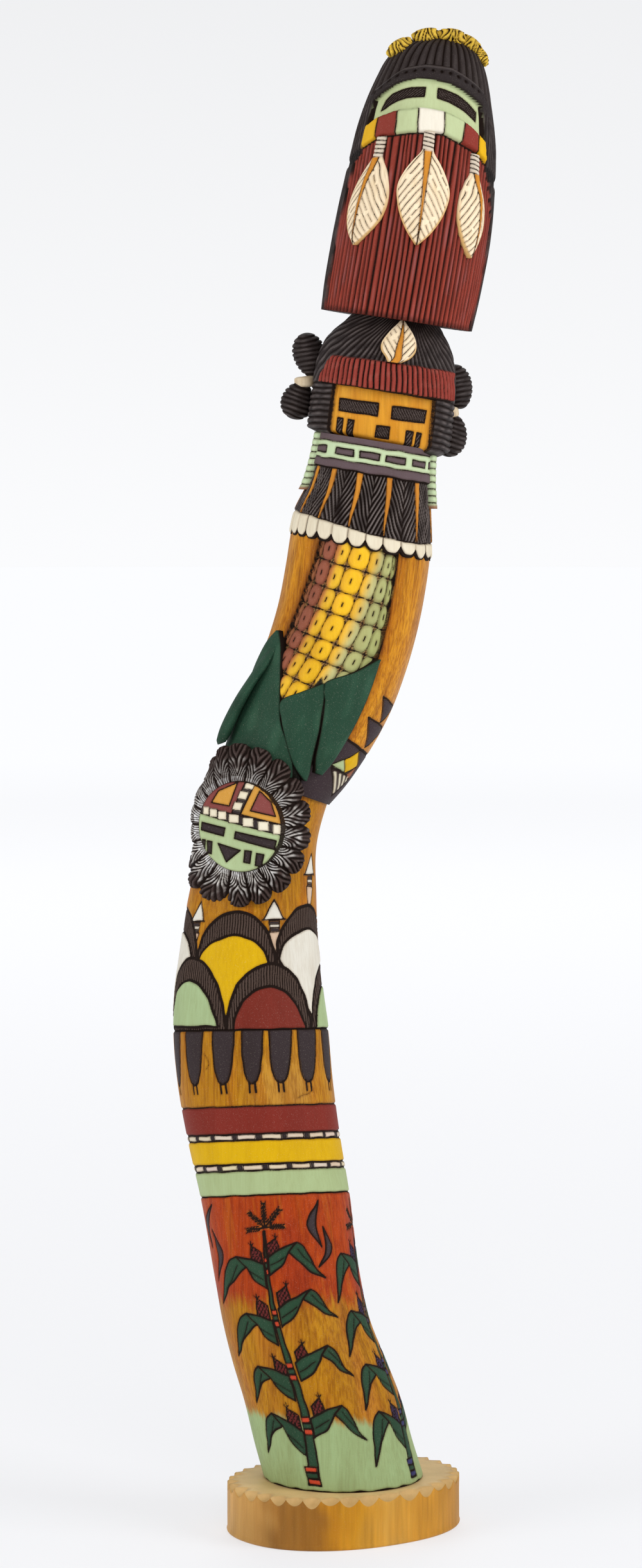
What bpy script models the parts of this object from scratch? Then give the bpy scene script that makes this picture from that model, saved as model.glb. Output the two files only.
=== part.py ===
"""Carved and painted cottonwood-root kachina doll on a small gouged slab.

The frame is in metres with +Z up, and the doll faces -Y. The origin is on the slab's underside,
below the middle of the figure's foot. The figure is one carving. Its forms are drawn in millimetres
on a figure 588 mm tall, measured from the seat, and FIGURE_HEIGHT scales them to the real size.
"""
import math

import bmesh
import bpy
import numpy as np

# Driving sizes in metres
FIGURE_HEIGHT = 0.588        # from the slab's top to the highest feather tuft
SLAB_THICKNESS = 0.021
SLAB_LEDGE_LONG = 0.017      # how far the slab stands out past the foot, along its length
SLAB_LEDGE_SHORT = 0.007     # and across it
SLAB_GOUGE_HEIGHT = 0.0035   # how far the gouge cuts run down the slab's side
SLAB_GOUGE_DEPTH = 0.0028    # how far they run in over its top
SLAB_GOUGE_PITCH = 0.0065
SEAT_GAP = 0.0003            # glue line between the slab and the foot

DRAWN_HEIGHT = 588.0
TRUNK_COLUMNS = 24
HEAD_COLUMNS = 28                # points round each head's section
SLAB_TURN = math.radians(35)     # the slab's long axis, seen from above
SLAB_SQUARENESS = 2.2            # 2 is an ellipse, more is squarer

# Sections of each form, bottom to top, in drawn millimetres: the left edge's x and height, the right
# edge's x and height, the middle's y, the depth in front of it and behind it, and how much higher
# the front of the section is than its sides.
TRUNK = [
    (-32.7, 0.0, 32.5, 0.0, 0.0, 32.0, 32.0, 0.0),
    (-36.3, 13.0, 28.3, 13.5, 0.3, 31.8, 31.5, 1.2),
    (-40.7, 31.0, 23.2, 32.0, 1.0, 31.2, 31.0, 2.8),
    (-45.5, 47.0, 17.0, 48.0, 2.0, 30.5, 30.0, 4.0),
    (-49.4, 62.7, 10.6, 64.0, 3.5, 29.6, 29.0, 4.6),
    (-52.3, 78.5, 7.0, 80.0, 5.2, 29.2, 28.5, 5.0),
    (-58.6, 113.5, 2.2, 116.0, 9.3, 30.0, 29.2, 5.0),
    (-63.6, 135.4, -1.4, 137.6, 11.8, 30.4, 29.8, 4.8),
    (-68.0, 160.0, -4.6, 162.0, 14.3, 30.8, 30.2, 4.4),
    (-69.7, 180.8, -6.4, 181.9, 16.2, 30.6, 30.0, 4.0),
    (-69.0, 197.0, -8.6, 198.0, 17.4, 29.4, 29.0, 3.6),
    (-66.6, 215.5, -10.3, 216.7, 18.6, 27.5, 27.2, 3.2),
    (-63.6, 235.1, -11.2, 236.6, 19.5, 25.5, 25.4, 2.6),
    (-58.6, 255.0, -11.0, 257.6, 20.0, 23.8, 23.8, 2.0),
    (-52.5, 272.0, -6.4, 275.0, 20.0, 23.4, 23.4, 1.6),
    (-43.0, 292.0, 1.0, 292.0, 20.0, 22.0, 22.0, 1.0)]
MANTLE = [
    (-50.5, 289.5, -6.0, 273.4, 20.0, 26.0, 25.0, 2.0),
    (-46.5, 300.0, 0.6, 281.0, 20.0, 27.4, 26.0, 2.0),
    (-42.5, 310.5, 7.3, 290.5, 20.0, 28.4, 27.0, 1.8),
    (-38.5, 321.0, 14.0, 301.5, 19.8, 28.8, 27.4, 1.5),
    (-34.6, 332.0, 19.9, 313.5, 19.4, 28.8, 27.4, 1.2),
    (-30.4, 343.0, 25.2, 328.0, 19.0, 28.6, 27.4, 1.0),
    (-26.6, 356.0, 29.6, 343.5, 18.4, 28.4, 27.4, 0.8),
    (-23.6, 371.5, 33.0, 360.5, 17.8, 28.2, 27.2, 0.6),
    (-21.0, 387.5, 35.0, 377.0, 17.4, 28.0, 27.0, 0.6),
    (-18.0, 400.0, 35.0, 391.0, 17.2, 27.0, 26.5, 0.6)]
RUFF = [
    (-22.4, 385.4, 36.0, 374.4, 17.4, 30.8, 29.6, 0.6),
    (-20.6, 393.0, 35.8, 383.0, 17.3, 30.0, 29.2, 0.6),
    (-15.0, 404.5, 35.3, 396.0, 17.1, 28.0, 27.6, 0.6),
    (-12.2, 413.5, 34.9, 405.4, 17.0, 26.8, 26.8, 0.6),
    (-9.8, 425.6, 35.4, 417.9, 17.0, 25.6, 26.2, 0.6)]
MAIDEN = [
    (-13.0, 411.0, 40.0, 401.5, 17.0, 25.5, 27.0, 0.6),
    (-15.2, 424.6, 42.6, 414.5, 17.0, 26.5, 28.0, 0.6),
    (-14.6, 432.5, 43.6, 422.5, 17.2, 27.0, 28.5, 0.6),
    (-13.3, 441.7, 44.6, 432.5, 17.5, 27.4, 28.6, 0.6),
    (-12.0, 450.0, 45.2, 441.5, 17.8, 27.2, 28.4, 0.6),
    (-10.0, 458.0, 45.1, 450.5, 18.0, 26.4, 27.6, 0.6),
    (-6.0, 465.0, 43.4, 458.5, 18.2, 24.6, 25.6, 0.6),
    (1.0, 471.0, 40.0, 465.5, 18.4, 21.0, 22.0, 0.6),
    (7.0, 477.0, 36.0, 473.0, 18.6, 18.0, 19.0, 0.6)]
LONGHAIR = [
    (-8.3, 474.8, 50.7, 465.8, 18.8, 27.5, 27.0, 0.3),
    (-7.1, 485.0, 53.2, 476.0, 19.0, 27.8, 27.2, 1.0),
    (-5.3, 496.0, 55.6, 487.3, 19.3, 28.0, 27.4, 2.4),
    (-3.3, 507.0, 57.7, 498.5, 19.7, 28.0, 27.4, 4.2),
    (-1.0, 518.0, 59.1, 509.5, 20.2, 27.8, 27.2, 6.2),
    (1.6, 529.0, 59.9, 521.0, 20.8, 27.2, 27.0, 8.0),
    (4.2, 540.0, 60.4, 532.5, 21.4, 26.2, 26.4, 9.2),
    (7.0, 551.0, 60.3, 544.0, 22.0, 24.8, 25.4, 9.6),
    (9.7, 560.0, 59.7, 554.0, 22.6, 23.0, 24.0, 8.6),
    (13.2, 568.0, 58.6, 563.0, 23.2, 20.6, 22.0, 6.6),
    (16.8, 574.6, 57.0, 570.5, 23.8, 17.6, 19.4, 4.6),
    (21.4, 579.6, 54.6, 576.5, 24.4, 14.0, 16.0, 2.8),
    (27.5, 582.8, 51.0, 580.8, 24.8, 9.6, 11.4, 1.4)]

UNIT = FIGURE_HEIGHT / DRAWN_HEIGHT
SEAT = SLAB_THICKNESS + SEAT_GAP

for old in list(bpy.data.objects):
    bpy.data.objects.remove(old)
doll = bpy.data.collections.new("kachina_doll")
guides = bpy.data.collections.new("joined_forms")
bpy.context.scene.collection.children.link(doll)
bpy.context.scene.collection.children.link(guides)


def through(knots, values, at):
    """Smooth curve through the values at the knots."""
    slopes = np.gradient(values, knots, axis=0)
    at = np.clip(at, knots[0], knots[-1])
    i = np.clip(np.searchsorted(knots, at) - 1, 0, len(knots) - 2)
    span = (knots[i + 1] - knots[i])[..., None]
    t = (at - knots[i])[..., None] / span
    return ((2 * t ** 3 - 3 * t ** 2 + 1) * values[i] + (t ** 3 - 2 * t ** 2 + t) * span * slopes[i]
            + (3 * t ** 2 - 2 * t ** 3) * values[i + 1] + (t ** 3 - t ** 2) * span * slopes[i + 1])


def skin(form, angle, height, out=0.0):
    """Point on a form, in drawn millimetres. The angle is 0 at the front and 90 at the viewer's
    right, the height is that of the section's middle, and out stands proud of the form."""
    form = np.asarray(form)
    angle, height, out = np.broadcast_arrays(np.asarray(angle, float), height, out)
    row = through((form[:, 1] + form[:, 3]) / 2, form, height)
    left_x, left_h, right_x, right_h, mid_y, front, back, rise = np.moveaxis(row, -1, 0)
    across, ahead = np.sin(np.radians(angle)), np.cos(np.radians(angle))
    half_width = (right_x - left_x) / 2
    depth = np.where(ahead > 0, front, back)
    normal = np.stack([across / half_width, -ahead / depth])
    normal /= np.hypot(*normal)
    x = (left_x + right_x) / 2 + half_width * across + out * normal[0]
    y = mid_y - depth * ahead + out * normal[1]
    h = (left_h + right_h) / 2 + (right_h - left_h) / 2 * across + rise * ahead
    return np.stack([x, y, h], axis=-1)


def smooth(low, high, value):
    """0 below low, 1 above high, and a soft ramp between."""
    t = np.clip((value - low) / (high - low), 0, 1)
    return t * t * (3 - 2 * t)


def front_dense(count, gather=0.35):
    """Angles round a section from -180 to 180, closer together at the front."""
    turn = np.arange(count) / count * 2 * math.pi - math.pi
    return np.degrees(turn - gather * np.sin(turn))


def new_mesh(name, material_name, color, roughness):
    """Empty named object in the doll's collection, with its own material."""
    body = bpy.data.objects.new(name, bpy.data.meshes.new(name))
    doll.objects.link(body)
    material = bpy.data.materials.new(material_name)
    material.use_nodes = True
    shader = material.node_tree.nodes["Principled BSDF"]
    shader.inputs["Base Color"].default_value = (*color, 1)
    shader.inputs["Roughness"].default_value = roughness
    shader.inputs["Metallic"].default_value = 0
    body.data.materials.append(material)
    return body


def closed_loft(mesh, rings):
    """Body of flat triangles through rings of equally many points, in metres, fanned over each end."""
    work = bmesh.new()
    rows = [[work.verts.new(point) for point in ring] for ring in rings]
    count = len(rows[0])
    for low, high in zip(rows, rows[1:]):
        for i in range(count):
            j = (i + 1) % count
            work.faces.new((low[i], low[j], high[j], high[i]))
    for row, points in ((rows[0][::-1], rings[0]), (rows[-1], rings[-1])):
        middle = work.verts.new(np.mean(points, axis=0))
        for i in range(count):
            work.faces.new((row[i], row[(i + 1) % count], middle))
    bmesh.ops.triangulate(work, faces=work.faces)
    bmesh.ops.recalc_face_normals(work, faces=work.faces)
    work.to_mesh(mesh)
    work.free()


def placed(points):
    """Drawn millimetres to metres above the table."""
    return np.asarray(points) * UNIT + (0, 0, SEAT)


def added(name, rings):
    """A form in its own object, to be joined to the figure."""
    form = bpy.data.objects.new(name, bpy.data.meshes.new(name))
    guides.objects.link(form)
    form.hide_render = True
    form.display_type = "WIRE"
    closed_loft(form.data, [placed(ring) for ring in rings])
    return form


def wrapped(form, angles, heights, relief):
    """Rings round a form, with its relief."""
    return [skin(form, angles, height, relief(angles, height)) for height in heights]


def blade(form, sections, thickness, edge=0.1, sink=1.2):
    """Rings of a leaf or feather that lies on a form. Each section gives its height and the angles
    of its two edges. The edge is this share of the thickness, and the back is sunk into the form."""
    rings = []
    for height, left, right in sections:
        across = left + (right - left) * np.array([0, 0.25, 0.5, 0.75, 1, 0.75, 0.25])
        out = thickness * np.array([edge, 0.9, 1, 0.9, edge, 0, 0])
        out[5:] = -sink
        rings.append(skin(form, across, height, out))
    return rings


def spread(line, half_widths):
    """Sections of a blade from its middle line, as angle and height, and its half widths in degrees."""
    return [(height, angle - half, angle + half) for (angle, height), half in zip(line, half_widths)]


def lobe(middle, radii, lean, sides=9, rows=5):
    """Rings of a rounded lobe, leaning sideways by lean degrees."""
    turn = math.radians(lean)
    rings = []
    for row in range(rows + 1):
        rise = math.pi * (row + 0.35) / (rows + 0.7)
        round_ = 2 * math.pi * np.arange(sides) / sides
        x = radii[0] * math.sin(rise) * np.cos(round_)
        y = radii[1] * math.sin(rise) * np.sin(round_)
        h = np.full(sides, -radii[2] * math.cos(rise))
        rings.append(np.stack([x * math.cos(turn) + h * math.sin(turn), y,
                               h * math.cos(turn) - x * math.sin(turn)], -1) + middle)
    return rings


# Trunk: the plain round root from the foot to the neck.
def trunk_rings():
    heights = np.linspace(0, 292, 16)
    return wrapped(TRUNK, front_dense(TRUNK_COLUMNS), heights, lambda angle, height: 0.0)


# Mantle: the two sides of the robe and the bulging ear of corn sunk between them.
COB_RIGHT = 33.0        # angle of the ear's right edge
COB_LEFT = (-38.0, -54.0)
COB_LEFT_HEIGHTS = (377.0, 335.0)
COB_BULGE = 1.4
COB_EDGE = -2.4
KERNEL_PROUD = 0.8
KERNELS_ACROSS = 7
KERNEL_PITCH = 8.0
ROBE_LEFT_COLUMNS = 6
ROBE_RIGHT_COLUMNS = 7
COB_FOOT = (300.0, 312.0)   # the ear fades out under the husk between these heights


def mantle_rings():
    """Rings whose points follow the ear's two edges, with one point on and one between kernels."""
    cob = np.linspace(-1, 1, 2 * KERNELS_ACROSS + 1)
    rings = []
    for row, height in enumerate(np.arange(281.5, 396, KERNEL_PITCH / 2)):
        lean = smooth(COB_LEFT_HEIGHTS[0], COB_LEFT_HEIGHTS[1], height)
        cob_left = COB_LEFT[0] + (COB_LEFT[1] - COB_LEFT[0]) * lean
        angles = np.concatenate([np.linspace(-180, cob_left - 1, ROBE_LEFT_COLUMNS),
                                 (cob_left + COB_RIGHT) / 2 + (COB_RIGHT - cob_left) / 2 * cob,
                                 np.linspace(COB_RIGHT + 1, 180, ROBE_RIGHT_COLUMNS, endpoint=False)])
        kernel = KERNEL_PROUD * (np.arange(len(cob)) % 2) * (row % 2)
        bulge = COB_EDGE + (COB_BULGE - COB_EDGE) * np.sqrt(1 - cob ** 2) + kernel
        bulge = bulge * smooth(*COB_FOOT, height) - 0.4
        out = np.pad(bulge, (ROBE_LEFT_COLUMNS, ROBE_RIGHT_COLUMNS))
        rings.append(skin(MANTLE, angles, height, out))
    return rings


def husk_leaves():
    """Two broad leaves that meet in a V over the foot of the ear."""
    left = ((284.3, -72, 12), (300, -80, 2), (312.5, -80, -25),
            (325, -78, -38), (337, -70, -50), (343, -62, -57))
    right = ((289.7, 30, 34), (300.8, 6, 34.5), (312.9, -24, 34),
             (320.6, -7, 33.5), (329.3, 14, 33), (337.4, 31, 33))
    yield "husk_left", blade(MANTLE, left, 2.6, 0.7, 3.5)
    yield "husk_right", blade(MANTLE, right, 3.4, 0.7, 3.5)


# Ruff of feathers with round white tips, and the collar above it.
RUFF_TIPS = 28


def ruff_rings():
    angles = np.arange(2 * RUFF_TIPS) * 180 / RUFF_TIPS
    tip = np.where(np.arange(2 * RUFF_TIPS) % 2, 0.0, 1.6)
    rings = [skin(RUFF, angles, 379.9, -3.0)]
    for height, share in ((380.2, 1.0), (388.0, 0.0), (400.0, 0.0), (408.2, 0.0)):
        ring = skin(RUFF, angles, height)
        ring[:, 2] += tip * share
        rings.append(ring)
    rings += [skin(RUFF, angles, 408.8, 1.0), skin(RUFF, angles, 421.6, 0.8), skin(RUFF, angles, 421.7, -4.0)]
    return rings


# Maiden's head: a sunk face between rolls of side hair, under a proud fringe and a dome of hair.
FACE_HALF_ANGLE = 43.0
FACE_SINK = -2.6
FRINGE_PROUD = 2.0
FRINGE = (441.2, 453.0)


def maiden_relief(angle, height):
    face = (np.abs(angle) < FACE_HALF_ANGLE) & (height < FRINGE[0])
    fringe = (np.abs(angle - 3) < 66) & (height > FRINGE[0]) & (height < FRINGE[1])
    return np.where(face, FACE_SINK, np.where(fringe, FRINGE_PROUD, 0))


def maiden_rings():
    heights = (417, 424, 432, 440.9, 441.6, 447, 452.7, 453.6, 458, 462, 466, 470, 474.5)
    angles = front_dense(HEAD_COLUMNS)
    underside = skin(MAIDEN, angles, 413.5, -7.0)
    return [underside] + wrapped(MAIDEN, angles, heights, maiden_relief)


def hair_whorls():
    """Upper lobe, tie and lower lobe of the whorl at each side of the maiden's head."""
    sides = {
        "left": ((-16.0, 25.0, 455.0), (-19.5, 25.0, 442.8), (-21.2, 25.0, 434.6), -14),
        "right": ((43.0, 25.0, 440.6), (44.4, 25.0, 430.2), (41.0, 25.0, 421.2), -14)}
    for side, (upper, tie, lower, lean) in sides.items():
        yield "whorl_upper_" + side, lobe(upper, (6.6, 7.5, 9.2), lean)
        yield "whorl_tie_" + side, lobe(tie, (4.4, 5.0, 5.4), lean, 8, 4)
        yield "whorl_lower_" + side, lobe(lower, (6.4, 7.2, 7.8), -lean)


def ear_pendants():
    """Strip of segments that hangs at each side from the ear down to the ruff."""
    hung = {"left": ((-76, 421), (-78, 411), (-80, 400)), "right": ((76, 421), (78, 409), (79, 396))}
    for side, line in hung.items():
        yield "pendant_" + side, blade(RUFF, spread(line, (5.5, 6, 6.5)), 2.8, 0.8)


# Longhaired head: hair, arched fringe over a sunk face, a row of proud plates and the grooved beard.
LONGHAIR_FACE = (545.0, 553.5)
PLATES = (534.0, 545.0)
PLATE_HALF_ANGLE = 58.0
SIDE_HAIR_ANGLE = 66.0
ROLL = (553.5, 561.0)


def longhair_relief(angle, height):
    front = np.abs(angle - 2) < PLATE_HALF_ANGLE
    plates = front & (height > PLATES[0]) & (height < PLATES[1])
    face = front & (height >= PLATES[1]) & (height < LONGHAIR_FACE[1])
    roll = (np.abs(angle - 2) < 74) & (height >= ROLL[0]) & (height < ROLL[1])
    side_hair = (np.abs(angle) > SIDE_HAIR_ANGLE) & (height < PLATES[0])
    return np.where(plates, 1.3, np.where(face, -1.2, np.where(roll, 1.2, np.where(side_hair, 1.0, 0))))


def longhair_rings():
    heights = (470.4, 482, 494, 506, 518, 527, 533.6, 534.4, 539.5, 544.6, 545.4,
               553.2, 553.9, 557.5, 560.6, 561.4, 566, 570, 573.5, 576.5, 579, 581.7)
    return wrapped(LONGHAIR, front_dense(HEAD_COLUMNS), heights, longhair_relief)


def beard_feathers():
    """Three leaf-shaped feathers, each hanging by a bound stem."""
    feathers = {
        "left": ((-36.4, 533.5), (-37.2, 528), (-38.6, 519), (-40.0, 511), (-42.0, 503), (-44.0, 495.5)),
        "centre": ((3.5, 536.0), (3.8, 529), (4.0, 521), (4.3, 514), (4.4, 505.5), (4.4, 498.0)),
        "right": ((45.0, 531.6), (45.6, 526), (46.4, 517), (47.2, 509), (48.4, 501), (49.8, 495.5))}
    for side, line in feathers.items():
        yield "beard_feather_" + side, blade(LONGHAIR, spread(line, (4.4, 4.2, 17, 20, 13, 1.5)), 2.2)


def forehead_feather():
    line = ((5.0, 453.0), (5.8, 457.5), (6.6, 461.5), (7.4, 466.0), (8.0, 470.0))
    yield "forehead_feather", blade(MAIDEN, spread(line, (5, 12, 16, 13, 2)), 2.6)


# Sun disc: a flat-domed face in a mat of rounded feathers that wraps the neck.
DISC_MIDDLE = (-38.7, -7.5, 267.6)
DISC_TURN = 24.0                   # degrees, towards the viewer's left
DISC_RADIUS = 18.4
FEATHER_RADIUS = 33.0
FEATHER_LOBES = 18
FEATHER_SHIFT = -1.5               # the mat's middle, left of the disc's
NECK_RADIUS = 27.5                 # the mat bends round the neck at this radius


def disc_rings():
    """Rings from the back of the mat, over its lobed edge, to the face. Each step of the profile is
    the height over the mat's bend, the radius, and how deep the lobes are there."""
    mat = ((-7.0, 14, 0), (-2.5, FEATHER_RADIUS - 2, 0.6), (1.0, FEATHER_RADIUS, 1), (4.2, 19.6, 0))
    face = ((4.6, DISC_RADIUS), (6.4, DISC_RADIUS), (8.0, 8))
    columns = FEATHER_LOBES * 3
    round_ = 2 * math.pi * np.arange(columns) / columns
    lobes = np.where(np.arange(columns) % 3 == 0, -2.2, 0.3)
    turn = math.radians(DISC_TURN)
    axis = np.array(DISC_MIDDLE[:2]) + np.array((math.sin(turn), math.cos(turn))) * NECK_RADIUS
    rings = []
    for out, radius, lobed in mat:
        reach = radius + lobes * lobed
        across = reach * np.cos(round_) + FEATHER_SHIFT * radius / FEATHER_RADIUS
        bend = across / NECK_RADIUS - turn
        from_axis = NECK_RADIUS + out
        rings.append(np.stack([axis[0] + from_axis * np.sin(bend), axis[1] - from_axis * np.cos(bend),
                               DISC_MIDDLE[2] + reach * np.sin(round_)], -1))
    for out, radius in face:
        across = radius * np.cos(round_)
        rings.append(np.stack([DISC_MIDDLE[0] + across * math.cos(turn) - out * math.sin(turn),
                               DISC_MIDDLE[1] - across * math.sin(turn) - out * math.cos(turn),
                               DISC_MIDDLE[2] + radius * np.sin(round_)], -1))
    return rings


def husk_leaf():
    """The free leaf that stands away from the body at the left."""
    rings = []
    sections = (
        ((-24.5, 1.0, 344.5), (-28.0, 8.0, 343.0), 1.0),
        ((-30.5, -1.5, 334.0), (-35.5, 9.0, 331.0), 1.8),
        ((-38.0, -1.0, 322.0), (-43.0, 11.0, 318.0), 2.0),
        ((-44.0, 1.0, 310.5), (-48.5, 12.0, 307.0), 2.0),
        ((-48.0, 3.0, 300.5), (-51.0, 10.5, 299.0), 1.7))
    for front, back, half_thickness in sections:
        front, back = np.array(front), np.array(back)
        middle = (front + back) / 2
        out = np.array([-0.85, -0.35, -0.4]) * half_thickness * 1.3
        rings.append(np.array([front, (front + middle) / 2 + out, middle + out * 1.3,
                               (back + middle) / 2 + out, back, middle - out * 1.3]))
    return rings


def crest_tufts():
    """Ruffled yellow tufts across the crown, a front row and a lower row behind it."""
    front = ((23.5, 22.0, 578.6, -38), (33.8, 20.0, 583.6, -10), (44.0, 20.0, 583.4, 8),
             (52.0, 21.0, 580.2, 32), (57.6, 23.5, 572.6, 62))
    behind = ((26.0, 32.0, 577.0, -30), (38.5, 33.0, 580.0, 0), (50.5, 33.0, 576.6, 34))
    for i, (x, y, h, lean) in enumerate(front + behind):
        yield "tuft_%d" % i, lobe((x, y, h), (6.4, 4.6, 3.6), lean, 8, 3)


def build_slab():
    """Turned-oval slab with gouge cuts round its upper edge."""
    slab = new_mesh("base_slab", "stained_slab_wood", (0.56, 0.33, 0.13), 0.55)
    foot_radius = (TRUNK[0][2] - TRUNK[0][0]) / 2 * UNIT
    long, short = foot_radius + SLAB_LEDGE_LONG, foot_radius + SLAB_LEDGE_SHORT
    gouges = round(math.pi * (long + short) / SLAB_GOUGE_PITCH)
    turn = 2 * math.pi * np.arange(2 * gouges) / (2 * gouges)
    cut = np.arange(2 * gouges) % 2

    def outline(inset):
        power = 2 / SLAB_SQUARENESS
        u = (long - inset) * np.sign(np.cos(turn)) * np.abs(np.cos(turn)) ** power
        v = (short - inset) * np.sign(np.sin(turn)) * np.abs(np.sin(turn)) ** power
        return np.stack([u * math.cos(SLAB_TURN) - v * math.sin(SLAB_TURN),
                         u * math.sin(SLAB_TURN) + v * math.cos(SLAB_TURN)], -1)

    def ring(inset, height):
        return np.column_stack([outline(inset), np.broadcast_to(height, 2 * gouges)])

    edge_height = SLAB_THICKNESS - SLAB_GOUGE_HEIGHT * (0.35 + 0.65 * cut)
    closed_loft(slab.data, [ring(SLAB_GOUGE_DEPTH / 2, 0), ring(0, SLAB_GOUGE_DEPTH / 2),
                            ring(0, edge_height), ring(SLAB_GOUGE_DEPTH, SLAB_THICKNESS)])
    return slab


def build_figure():
    """The whole carving, each form joined to the trunk."""
    figure = new_mesh("carved_figure", "painted_root", (0.55, 0.31, 0.09), 0.6)
    closed_loft(figure.data, [placed(ring) for ring in trunk_rings()])
    forms = [("mantle", mantle_rings()), ("ruff", ruff_rings()), ("maiden", maiden_rings()),
             ("longhair", longhair_rings()), ("sun_disc", disc_rings()), ("husk_leaf", husk_leaf())]
    forms += [*husk_leaves(), *hair_whorls(), *ear_pendants(), *beard_feathers(),
              *forehead_feather(), *crest_tufts()]
    for name, rings in forms:
        added(name, rings)
    join = figure.modifiers.new("carved_as_one", "BOOLEAN")
    join.operation = "UNION"
    join.operand_type = "COLLECTION"
    join.collection = guides
    return figure


build_slab()
build_figure()
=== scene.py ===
"""Looks of the carved and painted root doll on its small gouged slab."""
import math

import bmesh
import bpy
import numpy as np
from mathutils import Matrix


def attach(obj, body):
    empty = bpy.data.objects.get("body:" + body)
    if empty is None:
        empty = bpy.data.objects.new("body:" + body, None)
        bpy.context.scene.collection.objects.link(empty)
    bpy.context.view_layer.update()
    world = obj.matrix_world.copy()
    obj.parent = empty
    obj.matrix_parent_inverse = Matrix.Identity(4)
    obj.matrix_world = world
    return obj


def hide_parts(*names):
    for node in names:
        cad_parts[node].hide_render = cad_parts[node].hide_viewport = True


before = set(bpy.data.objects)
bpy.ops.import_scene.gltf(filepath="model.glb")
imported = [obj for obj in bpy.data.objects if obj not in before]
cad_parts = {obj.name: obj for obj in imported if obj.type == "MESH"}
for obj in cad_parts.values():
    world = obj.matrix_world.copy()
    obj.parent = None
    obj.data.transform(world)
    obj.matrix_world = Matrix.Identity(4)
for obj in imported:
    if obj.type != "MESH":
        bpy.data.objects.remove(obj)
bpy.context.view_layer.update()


# Camera 2 m in front of the doll and above its middle, at which it looks down 5 degrees through a long
# lens, as in the photograph.
camera = bpy.data.objects.new("camera", bpy.data.cameras.new("camera"))
bpy.context.scene.collection.objects.link(camera)
camera.location = (-0.0093, -2.0, 0.48)
camera.rotation_euler = (math.radians(85), 0, 0)
camera.data.lens = 114.04
camera.data.sensor_width = 36
camera.data.clip_start = 0.05
bpy.context.scene.camera = camera


# White studio: a soft box at each side, one high in front and one high behind, all aimed at the doll's
# middle, in surroundings that look whitest near the horizon. The pale round floor glows, and more so
# further out, so that it runs into them.
AIM = (0, 0, 0.3)
SOFTBOXES = {"softbox_left": ((-1.5, -0.8, 0.9), 1.0, 13), "softbox_right": ((1.5, -0.7, 1.0), 1.0, 16),
             "softbox_front": ((0.4, -2.2, 1.7), 1.2, 12), "softbox_back": ((0.0, 2.4, 1.6), 1.6, 12)}
BACKDROP_LOW = (-0.04, 0.985)      # how far up or down the white surroundings are, and how bright they look
BACKDROP_HIGH = (0.068, 0.89)
SURROUND_COLOR = (0.98, 0.985, 1.0, 1)
SURROUND_LIGHT = 0.42              # how much light they throw on the doll
FLOOR_RADIUS = 9.0
FLOOR_COLOR = (0.34, 0.34, 0.35, 1)
FLOOR_GLOW = (0.97, 0.98, 1.0, 1)
FLOOR_NEAR = (0.1, 0.59)           # distance from the doll, and how strongly the floor glows there
FLOOR_FAR = (3.8, 0.83)


def feed(tree, made, inputs):
    """Sets the inputs of a node to values, or links them from sockets."""
    for key, value in dict(inputs).items():
        if isinstance(value, bpy.types.NodeSocket):
            tree.links.new(value, made.inputs[key])
        else:
            made.inputs[key].default_value = value


def node(tree, kind, settings=(), inputs=()):
    """New node with its settings and inputs."""
    made = tree.nodes.new(kind)
    for key, value in dict(settings).items():
        setattr(made, key, value)
    feed(tree, made, inputs)
    return made


def between(tree, value, first, last):
    """Runs from the second number of first to that of last, as the value goes between their first ones."""
    (start, low), (end, high) = first, last
    inputs = {"Value": value, "From Min": start, "From Max": end, "To Min": low, "To Max": high}
    return node(tree, "ShaderNodeMapRange", (), inputs).outputs[0]


for name, (place, size, power) in SOFTBOXES.items():
    lamp = bpy.data.objects.new(name, bpy.data.lights.new(name, "AREA"))
    bpy.context.scene.collection.objects.link(lamp)
    lamp.data.shape = "SQUARE"
    lamp.data.size = size
    lamp.data.energy = power
    lamp.location = AIM
    direction = lamp.location.copy()
    lamp.location = place
    lamp.rotation_euler = (direction - lamp.location).to_track_quat("-Z", "Y").to_euler()

studio = bpy.data.worlds.new("white_studio")
bpy.context.scene.world = studio
studio.use_nodes = True
tree = studio.node_tree
upward = node(tree, "ShaderNodeSeparateXYZ", (), {0: node(tree, "ShaderNodeTexCoord").outputs["Generated"]})
looks = between(tree, upward.outputs["Z"], BACKDROP_LOW, BACKDROP_HIGH)
seen = node(tree, "ShaderNodeLightPath").outputs["Is Camera Ray"]
glow = between(tree, seen, (0, SURROUND_LIGHT), (1, looks))
feed(tree, tree.nodes["Background"], {"Color": SURROUND_COLOR, "Strength": glow})
bpy.context.scene.view_settings.view_transform = "Standard"

work = bmesh.new()
bmesh.ops.create_circle(work, cap_ends=True, radius=FLOOR_RADIUS, segments=96)
floor = bpy.data.objects.new("floor", bpy.data.meshes.new("floor"))
work.to_mesh(floor.data)
work.free()
bpy.context.scene.collection.objects.link(floor)
floor_paint = bpy.data.materials.new("pale_floor")
floor_paint.use_nodes = True
tree = floor_paint.node_tree
place = node(tree, "ShaderNodeTexCoord").outputs["Object"]
reach = node(tree, "ShaderNodeVectorMath", {"operation": "LENGTH"}, {0: place}).outputs["Value"]
feed(tree, tree.nodes["Principled BSDF"], {
    "Base Color": FLOOR_COLOR, "Roughness": 0.8, "Emission Color": FLOOR_GLOW,
    "Emission Strength": between(tree, reach, FLOOR_NEAR, FLOOR_FAR)})
floor.data.materials.append(floor_paint)


# Base slab: an oval of cottonwood sawn across, stained ochre on its side and left pale on top, with
# gouge cuts all round its upper edge. The doll's foot is glued to it.
FIGURE_HEIGHT = 0.588
DRAWN_HEIGHT = 588.0
SLAB_THICKNESS = 0.021
SEAT_GAP = 0.0003
UNIT = FIGURE_HEIGHT / DRAWN_HEIGHT
SEAT = SLAB_THICKNESS + SEAT_GAP

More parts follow.
